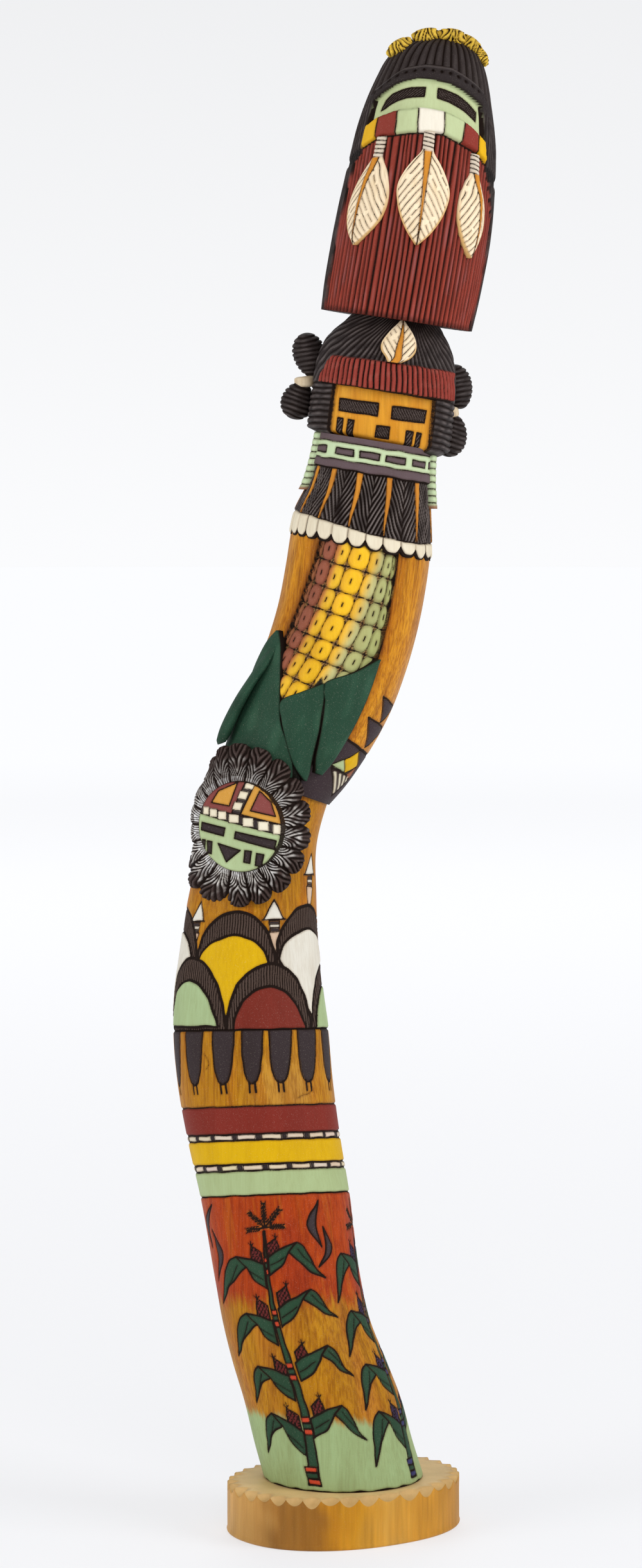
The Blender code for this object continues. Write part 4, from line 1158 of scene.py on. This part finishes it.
# Ruff and collar: dark feathers whose split white tips stand free all round the neck, with ochre quills
# and carved barbs, under a proud collar with a green strip. A jointed pendant hangs at each side.
RUFF = [
    (-22.7, 384, 36, 373, 17.4, 31, 29.8, 0.6), (-20.6, 393, 35.8, 383, 17.3, 30, 29.2, 0.6),
    (-15, 404.5, 35.3, 396, 17.1, 28, 27.6, 0.6), (-12.2, 413.5, 34.9, 405.4, 17, 26.8, 26.8, 0.6),
    (-9.8, 425.6, 35.4, 417.9, 17, 25.6, 26.2, 0.6)]
QUILLS = (-91, -64.6, -39.4, -11.5, 17.3, 50.2, 80, 107, 134, 161, 188, 215, 242, 269)
WHITE_LINE = ((-180, 388), (-80, 389.1), (-38, 387.7), (-12, 386.2), (15, 384.9), (49, 384.5), (75, 385.3),
              (180, 388))
COLLAR_LOW = 408.3
COLLAR_STRIP = (412.0, 419.0)
COLLAR_BLOCKS = (-148, -122, -97, -71.5, -39.4, -14.2, 11.3, 39.2, 66, 92, 118, 144)
COLLAR_BLOCK_WIDTH = 19.4          # degrees
COLLAR_PURPLE = tint(98, 82, 86)
COLLAR_GREEN = tint(196, 215, 174)
FEATHER_BLACK = tint(38, 30, 29)
RUFF_RIDGE_HIGHLIGHT = tint(122, 114, 112)
TIP_WHITE = tint(230, 220, 196)
TIP_GAP = tint(36, 28, 26)         # between the white tips
PENDANT_FOOT = tint(150, 110, 84)
QUILL_OCHRE = tint(212, 142, 48)
PENDANTS = {"left": ((-75.5, 422.4), (-78, 411), (-80, 398)), "right": ((76, 422), (78, 409), (79, 398.6))}


def ruff_and_collar():
    """Feathers of the ruff, their white tips and the collar above them."""
    heights = np.concatenate([[378.5, 378.6], np.linspace(378.8, 421.6, 104), [421.65]])
    ruff = Carving(RUFF, round_angles(300), heights, FEATHER_BLACK, 0.3)
    x, y = ruff.across, ruff.y
    turned = np.where(ruff.angle < QUILLS[0], ruff.angle + 360, ruff.angle)
    count = np.interp(turned, QUILLS, np.arange(len(QUILLS)))
    pace = np.interp(turned, QUILLS[:-1], np.diff(QUILLS)) * 0.52
    t = (count + 0.5) % 1 - 0.5
    low = np.interp(ruff.angle, *zip(*WHITE_LINE))
    collar = ramp(COLLAR_LOW - 0.1, COLLAR_LOW + 0.2, y)
    barb = ramp(low, low + 0.3, y) * (1 - collar)
    lines = (y + 2.1 * np.abs(t) * pace) / 4.0 + 0.1 * waver(x, y, 8, 81) + np.where(t > 0, 0.4, 0.0)
    ridge = ruff.furrow(lines, 1.72, 0.3, 0.9, barb)
    # Painted highlight: the barb ridges are coated lighter gray in patches.
    gloss = 0.75 + 0.4 * waver(x, y * 0.5, 6, 82)
    ruff.coat(np.clip(ramp(0.4, 0.85, ridge) * gloss * barb, 0, 1), RUFF_RIDGE_HIGHLIGHT, 0.2)
    quill = np.abs(t) * pace - 1.35 * ramp(381, 408, y) - 0.3
    ruff.coat(ramp(0.12, -0.12, quill) * barb, QUILL_OCHRE, 0.8)
    ruff.rise = np.where((quill < 0) & (barb > 0.5), 0.15, ruff.rise)
    ruff.clear((quill < -0.1) & (barb > 0.5))
    ruff.scorch(np.minimum(np.abs(quill), (0.5 - np.abs(t)) * pace) - 0.2, barb > 0.5)

    across = (np.abs(t) * 2 - 0.5) * 2
    uneven = np.random.default_rng(83).uniform(0, 0.9, 60)[np.floor(count * 2 + 8).astype(int) % 60]
    foot = 378.9 + uneven + 1.8 * np.abs(across) ** 3.2
    tip = np.minimum(np.minimum(pace / 4 * (1 - np.abs(across)) - 0.05, y - foot + 0.1), low - 0.15 - y)
    tips = (1 - barb) * (1 - collar)
    ruff.coat(tips, TIP_GAP, 0.3)
    ruff.coat(ramp(-0.05, 0.25, tip) * tips, TIP_WHITE, 0.25)
    ruff.scorch(tip - 0.05, (barb < 0.5) & (collar < 0.5))
    ruff.rise += (0.5 * ramp(0, 1.2, tip) - 0.6) * tips
    ruff.height = ruff.height + 2.0 * np.abs(across) ** 3 * ramp(385, 379, ruff.height) * (1 - collar)
    ruff.rise[0] = -4

    ruff.coat(collar, COLLAR_PURPLE, 0.2)
    ruff.raise_to(collar, 1.0)
    ruff.coat(within(y, COLLAR_STRIP[0] + 0.05, COLLAR_STRIP[1] - 0.05, 0.15), COLLAR_GREEN, 0.1)
    for height in COLLAR_STRIP:
        ruff.ring_line(height, 0.22, dip=0)
    ruff.ring_line(COLLAR_LOW, 0.35, dip=0)
    for left in COLLAR_BLOCKS:
        ends = np.interp((left, left + COLLAR_BLOCK_WIDTH), ruff.angle[80], x[80])
        ruff.fill(box(*ends, 414.2, 416.6), COLLAR_PURPLE, 0.1, 0.28)
    ruff.piece("ruff_and_collar", wood_finish("ruff_and_collar", 0.4, 0.4, 0.12, 0.45), 0.32)


ruff_and_collar()
pendant_finish = wood_finish("painted_pendant", 0.4, 0.4, 0.3, 0.4)
for side, line in PENDANTS.items():
    foot = line[-1][1]
    sections = [(height, angle - 6, angle + 6) for angle, height in line]
    strip = Blade(RUFF, sections, 2.8, COLLAR_GREEN, 0.15, edge=0.75)
    for height in np.arange(foot + 2.2, 422, 2.7):
        strip.line([(strip.x.min() - 3, height + 0.3), (strip.x.max() + 3, height - 0.3)], 0.24)
    strip.coat(ramp(foot + 2, foot + 0.6, strip.y), PENDANT_FOOT, 0.3)
    strip.piece("pendant_" + side, pendant_finish, 0.35)


# Maiden's head: an ochre face sunk between rolls of ribbed hair, under a proud red fringe cut into locks
# and a dome of hair that is combed from its parting to both sides. A feather lies on the forehead.
MAIDEN = [
    (-13, 411, 40, 401.5, 17, 25.5, 27, 0.6), (-15.2, 424.6, 42.6, 414.5, 17, 26.5, 28, 0.6),
    (-14.6, 432.5, 43.6, 422.5, 17.2, 27, 28.5, 0.6), (-13.3, 441.7, 44.6, 432.5, 17.5, 27.4, 28.6, 0.6),
    (-12, 450, 45.2, 441.5, 17.8, 27.2, 28.4, 0.6), (-10, 458, 45.1, 450.5, 18, 26.4, 27.6, 0.6),
    (-6, 465, 43.4, 458.5, 18.2, 24.6, 25.6, 0.6), (1, 471, 40, 465.5, 18.4, 21, 22, 0.6),
    (7, 477, 36, 473, 18.6, 18, 19, 0.6)]
FACE_SIDES = (-45.5, 46.0)
FACE_SINK = 2.6
FRINGE_LOW = 441.6
FRINGE_HIGH = 453.0
FRINGE_PROUD = 2.0
PARTING = (4, 477)                 # where the combed lines of the dome meet
HAIR_BLACK = tint(44, 37, 37)
HAIR_GLOSS = tint(92, 84, 83)
FACE_OCHRE = tint(224, 158, 48)
FACE_DEEP = tint(210, 134, 22)
FRINGE_RED = tint(154, 64, 54)
FRINGE_PALE = tint(166, 88, 78)
MARK_GRAY = tint(100, 90, 88)
FACE_MARKS = (                     # slope of the hatching, and corners as angle and height
    (-0.75, ((-41.0, 435.6), (-4.0, 436.2), (-3.8, 431.3), (-40.2, 430.7))),
    (-0.75, ((8.4, 436.2), (41.4, 436.8), (40.4, 432.0), (8.4, 431.2))),
    (-0.9, ((-3.3, 427.4), (8, 427.7), (7.9, 423.1), (-3.4, 422.9))),
    (0.7, ((-40, 427.8), (-34.5, 427.8), (-35.1, 421.4), (-40.3, 421.4))),
    (0.7, ((-29.4, 427.8), (-23.4, 427.8), (-24.6, 421.2), (-29.9, 421.2))),
    (0.7, ((23.4, 427.6), (29.6, 427.6), (28.8, 421.3), (22.7, 421.3))),
    (0.7, ((33.6, 427.6), (38.2, 427.6), (37.4, 421.3), (33, 421.3))))
FEATHER_CREAM = tint(250, 232, 200)
FEATHER_TINGE = tint(232, 200, 140)
FEATHER_RIM = tint(206, 160, 84)
STEM_WHITE = tint(232, 222, 204)
STEM_TURN = 1.55                   # millimetres for each turn of the cord round a stem
BARB_PITCH = 3.3
FOREHEAD_FEATHER = ((453.2, -0.4, 10), (455, -2.5, 16.5), (457.5, -6.8, 21.5), (460.5, -7.6, 23.4),
                    (463.5, -5.4, 22.2), (466.2, -2.2, 18.4), (468.5, 2.2, 13.4), (470, 5.5, 10))


def hatched_mark(work, corners, slope, pitch=1.3):
    """Burnt and scratched patch between corners given as angle and height, whose hatch lines lean by
    the slope."""
    rows = [np.argmin(np.abs(work.height[:, 0] - height)) for _, height in corners]
    corners = [(np.interp(angle, work.angle[row], work.across[row]), height)
               for row, (angle, height) in zip(rows, corners)]
    work.fill(corners, MARK_GRAY, 0.15, 0.35)
    (left, low), (right, high) = np.min(corners, axis=0), np.max(corners, axis=0)
    places = np.arange(left - 3, right + 3, pitch)
    work.hatch(corners, places, (low + high) / 2, slope, (high - low) / 2 + 1, 0.26)


def combed(work, lines, pitch, half, depth, share, highlight_share, seed):
    """Ribbed black hair, whose ridges carry a painted gray highlight in patches."""
    ridge = work.furrow(lines, pitch, half, depth, share)
    patchy = 0.6 + 0.4 * waver(work.x, work.y, 6, seed)
    # Painted highlight: the ridge tops are coated lighter gray.
    work.coat(np.clip(ramp(0.35, 0.95, ridge) * patchy * highlight_share, 0, 1), HAIR_GLOSS, 0.25)


def maiden_head():
    """Hair, face and fringe of the lower head."""
    heights = np.concatenate([[417.6, 417.7], np.linspace(418.2, 474.5, 134)])
    head = Carving(MAIDEN, round_angles(270), heights, HAIR_BLACK, 0.25, hand=0.1)
    x, y, side = head.across, head.y, np.abs(head.angle)
    angle = head.angle + head.waver * 2
    face = within(angle, *FACE_SIDES, 0.6) * ramp(FRINGE_LOW + 0.2, FRINGE_LOW - 0.3, y)
    share = np.clip((y - FRINGE_LOW) / (FRINGE_HIGH - FRINGE_LOW), 0, 1)
    fringe_wide = within(angle, -63.2 + 10.7 * share, 67.5 + 2.4 * share, 0.8)
    fringe = fringe_wide * ramp(-0.2, 0.2, y - FRINGE_LOW) * ramp(0.3, -0.5, y - FRINGE_HIGH)
    hair = (1 - face) * (1 - fringe)

    rolls = hair * ramp(442.5, 441.5, y) * ramp(150, 130, side)
    ribs = y / 2.4 + 0.012 * (side - 60) + 0.07 * waver(x, y, 14, 91)
    combed(head, ribs, 2.4, 0.2, 0.6, rolls, rolls, 93)
    dome = hair * ramp(441.2, 442.2, y) * ramp(120, 95, side)
    aside, down = x - PARTING[0], PARTING[1] - y
    fan = np.arctan2(aside, down) * 13 + 0.08 * waver(x, y, 12, 92)
    combed(head, fan, np.hypot(aside, down) / 13, 0.18, 0.7, dome, dome, 98)
    behind = ramp(110, 125, side)
    off = np.abs((head.angle / 6) % 1 - 0.5) * 2
    head.rise -= 0.4 * (1 - off) ** 2 * behind * hair
    head.scorch(off * 1.4 - 0.2, behind > 0.5)

    head.coat(face, FACE_OCHRE, 0.8)
    head.stain(face * 0.4, FACE_DEEP, 0.9, (-0.2, 1.4), 8, 94, y * 0.3)
    head.clear(face > 0.5)
    to_side = np.minimum(np.abs(angle - FACE_SIDES[0] + 0.4), np.abs(angle - FACE_SIDES[1] - 0.4))
    head.scorch(to_side * 0.48 - 0.3, y < FRINGE_LOW)
    head.raise_to(face, -FACE_SINK)
    head.coat(fringe, FRINGE_RED, 0.3)
    head.stain(fringe * 0.45, FRINGE_PALE, 0.3, (0.2, 1.4), 4, 95, y)
    head.clear(fringe > 0.5)
    off = from_whole((angle + 3.0 * share * (angle + 63) / 130) / 4.35 + 0.06 * waver(x, y * 0.2, 6, 96))
    head.raise_to(fringe, FRINGE_PROUD - 0.9 * (1 - 2 * off) ** 3 - 0.7 * share ** 3)
    head.scorch(off * 2.2 - 0.3, fringe > 0.4)
    head.scorch(np.abs(y - FRINGE_LOW + 0.1) - 0.3, fringe_wide > 0.5)

    for slope, corners in FACE_MARKS:
        hatched_mark(head, corners, slope)
    head.rise -= 9.0 * ramp(423.6, 418.2, head.height) ** 1.6
    head.rise[0] = -9
    head.piece("maiden_head", wood_finish("maiden_head", 0.3, 0.4, 0.15, 0.45), 0.35)


def painted_feather(name, form, sections, thickness, slope, quill, stem=None, middle=0.5):
    """Cream feather with thin slanting barb lines and an ochre quill. The quill's half width is given
    at some heights, and the bound white stem starts at the height of the stem."""
    vane = Blade(form, sections, thickness, FEATHER_CREAM, 0.35, edge=0.35, pitch=0.36, columns=60)
    y = vane.y
    side = (vane.share - 0.5) * vane.width
    if stem is not None:
        side = side - (middle - 0.5) * vane.width * ramp(stem, stem - 8, y)
    vane.coat(ramp(0.4, 1.5, waver(side, y * 0.6, 5, 101)) * 0.25, FEATHER_TINGE, 0.4)
    low_part = ramp(0.62, 0.25, (y - y.min()) / (y.max() - y.min()))
    vane.coat(ramp(1.4, 0.3, vane.to_rim) * (0.1 + 0.75 * low_part), FEATHER_RIM, 0.5)
    barbs = (y + slope * np.abs(side)) / BARB_PITCH + 0.06 * waver(side, y, 6, 102)
    barbs = barbs + np.where(side > 0, 0.4, 0)
    off = from_whole(barbs) * BARB_PITCH / math.hypot(1, slope)
    vane.scorch(off - 0.12, (waver(side, y, 3.5, 103) > -1.1) & (vane.to_rim > 0.5))
    vane.rise -= 0.22 * ramp(0.35, 0.0, off) * ramp(0.2, 0.8, vane.to_rim)
    to_quill = np.abs(side) - np.interp(y, *zip(*quill))
    vane.coat(ramp(0.1, -0.1, to_quill), QUILL_OCHRE, 0.6)
    vane.clear(to_quill < 0)
    vane.scorch(np.abs(to_quill) - 0.14)
    vane.rise += 0.3 * ramp(0.3, -0.3, to_quill)
    if stem is not None:
        bound = ramp(stem - 0.2, stem + 0.2, y)
        vane.coat(bound, STEM_WHITE, 0.2)
        vane.clear(bound > 0.5)
        off = from_whole((y - stem + 0.12 * side) / STEM_TURN) * STEM_TURN
        vane.scorch(off - 0.2, bound > 0.5)
        vane.raise_to(bound, -0.35 * ramp(0.5, 0.0, off))
    vane.burn = np.where(vane.front > 0.5, vane.burn, -0.1)
    vane.piece(name, feather_finish, 0.15)


maiden_head()
feather_finish = wood_finish("painted_feather", 0.3, 0.3, 0.15, 0.4)
painted_feather("forehead_feather", MAIDEN, FOREHEAD_FEATHER, 2.6, -1.35,
                ((453, 1.6), (462, 0.9), (469, 0.15)))


# Hair whorls: at each side of the maiden's head an upper and a lower roll of ribbed hair, bound
# in the middle with a cream tie. All are carved in one with the head.
WHORLS = {                         # upper roll, tie and lower roll: middle and radii
    "left": (((-14, 25, 456.4), (6.7, 7.5, 9.2)), (-15.6, 25, 445.6), ((-18.7, 25, 438), (6.9, 7.4, 7.8))),
    "right": (((45.9, 25, 443.6), (6.4, 7.5, 9.2)), (42.2, 25, 433.2), ((43.6, 25, 423.6), (6.6, 7.2, 8.6)))}
WHORL_LEAN = 14
WHORL_SWELL = 0.12
TIE_RADII = (4.5, 5.2, 2.3)
TIE_CREAM = tint(220, 202, 172)
TIE_BROWN = tint(176, 146, 112)


class Lump(Carving):
    """Rounded mass with a leaning axis. Swell makes its top wider than its bottom."""

    def __init__(self, middle, radii, lean, color, swell=0.0, square=2.0, rows=56, columns=64):
        rise, self.turn = np.meshgrid(np.linspace(0.02, math.pi - 0.02, rows),
                                      np.linspace(0, 2 * math.pi, columns + 1), indexing="ij")
        self.ring = np.sin(rise) ** (2 / square) * (1 - swell * np.cos(rise))
        self.level = -np.sign(np.cos(rise)) * np.abs(np.cos(rise)) ** (2 / square)
        self.middle, self.radii, self.lean = middle, radii, math.radians(lean)
        self.x = self.across = self.turn * radii[0]
        self.y = self.level * radii[2]
        self.blank(color, 0.25)

    def surface(self, out):
        """Points of the mass, leaning as it does."""
        out = out * np.minimum(1, self.ring * 2)
        x = (self.radii[0] * self.ring + out) * np.cos(self.turn)
        y = (self.radii[1] * self.ring + out) * np.sin(self.turn)
        h = self.radii[2] * self.level
        return np.stack([x * math.cos(self.lean) + h * math.sin(self.lean), y,
                         h * math.cos(self.lean) - x * math.sin(self.lean)], -1) + self.middle


whorl_finish = wood_finish("ribbed_hair", 0.5, 0.4, 0.12, 0.5)
tie_finish = wood_finish("whorl_tie", 0.5, 0.5, 0.4, 0.5)
for side, (upper, tie, lower) in WHORLS.items():
    for part, (middle, radii), way in (("upper", upper, -1), ("lower", lower, 1)):
        roll = Lump(middle, radii, way * WHORL_LEAN, HAIR_BLACK, -way * WHORL_SWELL)
        ribs = roll.y / 1.9 + 0.35 * np.cos(roll.turn + 0.6) + 0.07 * waver(roll.x, roll.y, 9, 111)
        combed(roll, ribs, 1.9, 0.2, 0.5, np.minimum(1, roll.ring * 1.5), 0.8, 112)
        roll.piece("whorl_%s_%s" % (part, side), whorl_finish, 0.3)
    band = Lump(tie, TIE_RADII, -6, TIE_CREAM, square=5, rows=20, columns=48)
    band.stain(0.5, TIE_BROWN, 0.6, (0, 1.2), 4, 113, band.y)
    band.piece("whorl_tie_" + side, tie_finish)


# Longhaired head: black hair in grooved locks under the crest, a thick rolled fringe with punched holes,
# a green face with hatched eyes over a row of proud painted plates, and the long red beard.
LONGHAIR = [
    (-8.3, 474.8, 50.7, 465.8, 18.8, 27.5, 27, 0.3), (-7.1, 485, 53.2, 476, 19, 27.8, 27.2, 1),
    (-5.3, 496, 55.6, 487.3, 19.3, 28, 27.4, 2.4), (-3.3, 507, 57.7, 498.5, 19.7, 28, 27.4, 4.2),
    (-1, 518, 59.1, 509.5, 20.2, 27.8, 27.2, 6.2), (1.6, 529, 59.9, 521, 20.8, 27.2, 27, 8),
    (4.2, 540, 60.4, 532.5, 21.4, 26.2, 26.4, 9.2), (7, 551, 60.3, 544, 22, 24.8, 25.4, 9.6),
    (9.7, 560, 59.7, 554, 22.6, 23, 24, 8.6), (13.2, 568, 58.6, 563, 23.2, 20.6, 22, 6.6),
    (16.8, 574.6, 57, 570.5, 23.8, 17.6, 19.4, 4.6), (21.4, 579.6, 54.6, 576.5, 24.4, 14, 16, 2.8),
    (27.5, 582.8, 51, 580.8, 24.8, 9.6, 11.4, 1.4)]
PLATE_LOW = ((-56, 531.2), (-42.5, 533.3), (-24, 534.2), (-5.9, 535.1), (14.9, 536.1), (30.1, 534.3),
             (47.2, 533.5), (60.7, 531.2))
PLATE_HIGH = ((-53.4, 540.3), (-42.5, 542.3), (-24.9, 543.5), (-7.4, 544.8), (13.9, 544.8), (32.4, 543.4),
              (47.1, 540.9), (58, 539.2))
FACE_TOP = ((-58, 549), (-52.5, 549.9), (-31.6, 555.2), (-10.6, 557.7), (17.7, 557), (54.7, 552.4),
            (62, 550.5))
ROLL_TOP = ((-74, 551.5), (-45.9, 557.4), (-28, 563.6), (-5.8, 565.4), (18.4, 565.4), (48.9, 561),
            (67.3, 556), (80, 552))
BEARD_EDGE_LEFT = ((466, -77), (476.6, -75.7), (496.1, -71.8), (515.6, -69.7), (526.4, -66.6),
                   (529.4, -58), (550, -56))
BEARD_EDGE_RIGHT = ((466, 78), (482.9, 79.5), (496.6, 82.2), (514.1, 79), (525.7, 67), (530, 60), (536, 57),
                    (552, 54.5))
LOCK_DEGREES = 9                   # width of the crown's locks
HOLE_PITCH = 3.4
MASK_GREEN = tint(190, 203, 156)
MASK_SINK = 1.2
BEARD_RED = tint(146, 60, 48)
BEARD_RIDGE_HIGHLIGHT = tint(152, 92, 92)
BEARD_WORN = tint(164, 66, 50)
BEARD_PAINTED_SHADE = tint(64, 22, 14)
BAND_BLACK = tint(30, 25, 25)
CROWN_BLACK = tint(52, 44, 43)
PLATE_COLORS = (tint(224, 174, 36), tint(138, 56, 46), MASK_GREEN, tint(238, 232, 216), MASK_GREEN,
                tint(138, 52, 42), tint(226, 176, 20))
EYE_MARKS = (                      # slope of the hatching, and corners as angle and height
    (1.2, ((-45.7, 544.7), (-42, 548.6), (-35.8, 550.9), (-27, 552.2), (-18.6, 552.9), (-4.5, 553.6),
           (-4.4, 549.6), (-21.3, 548.7), (-29, 547.8), (-35.1, 546.6), (-41, 545.2))),
    (-1.1, ((7.4, 553.8), (17, 553.8), (25.5, 553.2), (38, 551.6), (48.8, 549.5), (47.8, 545.7),
            (37, 547.4), (25.9, 548.6), (16, 549.4), (7.7, 549.8))))


def longhaired_head():
    """Beard, hair, crown, rolled fringe, face and plates of the upper head."""
    head = Carving(LONGHAIR, round_angles(270), np.linspace(470.4, 581.7, 238), HAIR_BLACK, 0.25, hand=0.1)
    x, y, degree = head.across, head.y, head.degree()
    angle = head.angle + head.waver * 2
    plate_low, plate_high, face_top, roll_top = (np.interp(angle, *zip(*line))
                                                 for line in (PLATE_LOW, PLATE_HIGH, FACE_TOP, ROLL_TOP))
    left, right = (np.interp(y, *zip(*line)) for line in (BEARD_EDGE_LEFT, BEARD_EDGE_RIGHT))
    to_side = np.minimum(angle - left, right - angle) * degree
    front = ramp(-0.3, 0.3, to_side)
    behind = 1 - front

    beard = front * ramp(0.2, -0.2, y - plate_low)
    locks = x / 2.2 + 0.16 * waver(x, y * 0.12, 8, 121) + 0.2 * waver(x, 0, 9, 128)
    ridge = head.furrow(locks, 2.2, 0.2, 1.0, beard)
    head.coat(beard, BEARD_RED, 0.35)
    # Painted highlight: paler purple-gray on the ridges of the locks, in patches.
    head.stain(beard * ramp(0.3, 0.9, ridge) * 0.6, BEARD_RIDGE_HIGHLIGHT, 0.3, (0.1, 1.3), 4, 122, y * 0.16)
    head.stain(beard * ramp(505, 475, y) * 0.5, BEARD_WORN, 0.35, (-0.6, 1.0), 3, 123, y * 0.2)
    # Painted shade: darker in the grooves between the locks and along the beard's lower edge.
    head.coat(beard * ramp(0.55, 0.15, ridge) * 0.85, BEARD_PAINTED_SHADE, 0.4)
    head.coat(beard * ramp(473.0, 470.8, head.height) * 0.7, BEARD_PAINTED_SHADE, 0.4)
    hair = behind * ramp(553, 549, y)
    strands = x / 2.0 + 0.15 * waver(x, y * 0.1, 9, 124)
    combed(head, strands, 2.0, 0.2, 0.6, hair, hair * 0.8, 126)
    head.rise += 1.0 * behind * ramp(562, 540, y)
    tie = hair * within(y, 526.5, 531.0, 0.5)
    head.rise -= 0.6 * tie
    head.coat(tie, BAND_BLACK, 0.3)

    crown = ramp(-0.2, 0.2, y - roll_top)
    head.coat(crown * 0.8, CROWN_BLACK, 0.3)
    locks = head.angle / LOCK_DEGREES + 0.05 * waver(x, y * 0.3, 9, 125)
    combed(head, locks, LOCK_DEGREES * degree, 0.24, 0.9, crown, crown * 0.25, 127)
    roll = front * within(y, face_top, roll_top, 0.2)
    up = np.clip((y - face_top) / (roll_top - face_top), 0, 1)
    head.raise_to(roll, 0.4 + 1.5 * np.sin(math.pi * np.clip(up, 0.03, 0.97)) ** 0.6)
    head.clear(roll > 0.5)
    head.scorch(np.minimum(up, 1 - up) * 7 - 0.25, roll > 0.5)
    hole = np.hypot(from_whole(x / HOLE_PITCH) * HOLE_PITCH, (up - 0.6) * 7.5) - 0.55
    head.scorch(hole, roll > 0.5)
    head.rise -= 0.7 * ramp(0.5, -0.2, hole) * roll
    # Painted highlight along the top of the rolled fringe.
    head.coat(roll * ramp(0.76, 0.86, up) * ramp(1.0, 0.94, up) * 0.6, HAIR_GLOSS, 0.25)

    face = front * within(y, plate_high, face_top, 0.15)
    head.coat(face, MASK_GREEN, 0.15)
    head.clear(face > 0.5)
    head.coat(face * ramp(0.9, 0.6, to_side), FEATHER_BLACK, 0.2)
    head.scorch(to_side - 1.0, (face > 0.5) & (to_side < 1.4))
    head.raise_to(face, -MASK_SINK)
    row = front * ramp(-0.15, 0.15, y - plate_low) * ramp(0.25, -0.25, y - plate_high)
    share = np.clip((y - plate_low) / (plate_high - plate_low), 0, 1)
    head.clear(row > 0.5)
    head.raise_to(row, 1.5 * ramp(0, 0.16, share) - 0.9 * ramp(0.9, 1.05, share))
    edges = [low + (high - low) * share for (low, _), (high, _) in zip(PLATE_LOW, PLATE_HIGH)]
    edges[0] -= 8
    edges[-1] += 12
    for color, start, end in zip(PLATE_COLORS, edges, edges[1:]):
        off = np.minimum(angle - start, end - angle) * degree
        head.coat(row * ramp(-0.15, 0.15, off), color, 0.12)
        head.scorch(np.abs(off) - 0.26, row > 0.5)
    head.scorch(np.abs(y - plate_low + 0.15) - 0.3, front > 0.5)
    for slope, corners in EYE_MARKS:
        hatched_mark(head, corners, slope)
    head.piece("longhaired_head", wood_finish("longhaired_head", 0.5, 0.4, 0.15, 0.45), 0.35)


longhaired_head()


# Beard feathers: three cream feathers that lie on the beard, each hanging by a stem bound with cord.
BEARD_FEATHERS = {                 # place of the quill in the vane, then angle, height and half width
    "left": (0.38, ((-43.6, 495.2, 1.2), (-43.4, 499, 9), (-42, 503, 15), (-40.8, 508, 18.5),
                    (-39.6, 513, 18), (-38.4, 518, 14.5), (-37.4, 522.5, 9.5), (-36.8, 526.3, 4.4),
                    (-36.4, 530, 4.2), (-36, 534, 4.2))),
    "centre": (0.5, ((4.6, 497.3, 1.2), (4.6, 501, 8), (4.5, 505.5, 14), (4.4, 511, 18.6), (4.2, 516.5, 20),
                     (4, 521.5, 16), (3.9, 525.5, 10.5), (3.8, 529.3, 4.6), (3.6, 532.5, 4.4),
                     (3.4, 536.2, 4.2))),
    "right": (0.7, ((49.8, 496.4, 1.2), (49.2, 500, 7), (48.6, 504, 11.6), (48.2, 508.5, 14.6),
                    (47.6, 513.5, 14.8), (47, 518, 12.6), (46.2, 522, 8.4), (45.8, 525.6, 4.4),
                    (45.4, 529, 4.2), (45, 532.6, 4)))}
STEM_START = 7                     # which of the places is where the stem starts
for side, (middle, line) in BEARD_FEATHERS.items():
    tip, stem = line[0][1], line[STEM_START][1]
    outline = [(height, angle - half, angle + half) for angle, height, half in line]
    painted_feather("beard_feather_" + side, LONGHAIR, outline, 2.3, 1.3,
                    ((tip, 0.05), (stem - 12, 0.75), (stem, 1.5)), stem, middle)


# Crest: ruffled yellow feather tufts in a row across the crown, with a lower row behind, all cut from the
# head's own wood, with painted brown shade between their ribs.
TUFTS = (                          # middle of the tuft, its lean and its size
    (22.4, 16, 579.6, -32, 1), (33.2, 18, 584.2, -8, 1), (43.6, 18, 584, 8, 1), (50.6, 20, 581.2, 34, 0.92),
    (55.6, 21, 576.2, 62, 0.68), (26, 30, 578.4, -28, 0.95), (38.5, 31, 581.4, 0, 1),
    (50, 31, 577.6, 34, 0.95))
TUFT_YELLOW = tint(236, 200, 74)
TUFT_LIGHT = tint(236, 204, 84)
TUFT_GROOVE_SHADE = tint(112, 76, 20)
tuft_finish = wood_finish("yellow_tufts", 0.4, 0.5, 0.25, 0.5)
for count, (x, y, h, lean, size) in enumerate(TUFTS):
    tuft = Lump((x, y, h), (6.0 * size, 4.6 * size, 3.4 * size), lean, TUFT_YELLOW, rows=32, columns=72)
    sideways = np.cos(tuft.turn) * tuft.ring * 6.3
    ribs = (sideways + 0.35 * tuft.y * np.sign(sideways)) / 1.7 + 0.3 * waver(tuft.x, tuft.y, 5, 131 + count)
    ridge = tuft.furrow(ribs, 1.7, 0.22, 1.1, np.minimum(1, tuft.ring * 2))
    tuft.rise += 0.5 * waver(tuft.x, tuft.y * 2, 6, 151 + count)
    # Painted shade: brown in the grooves between the ribs.
    tuft.coat(ramp(0.5, 0.1, ridge) * 0.75, TUFT_GROOVE_SHADE, 0.4)
    tuft.stain(0.4, TUFT_LIGHT, 0.3, (0.0, 1.3), 4, 141 + count, tuft.y)
    tuft.piece("tuft_%d" % count, tuft_finish, 0.25)
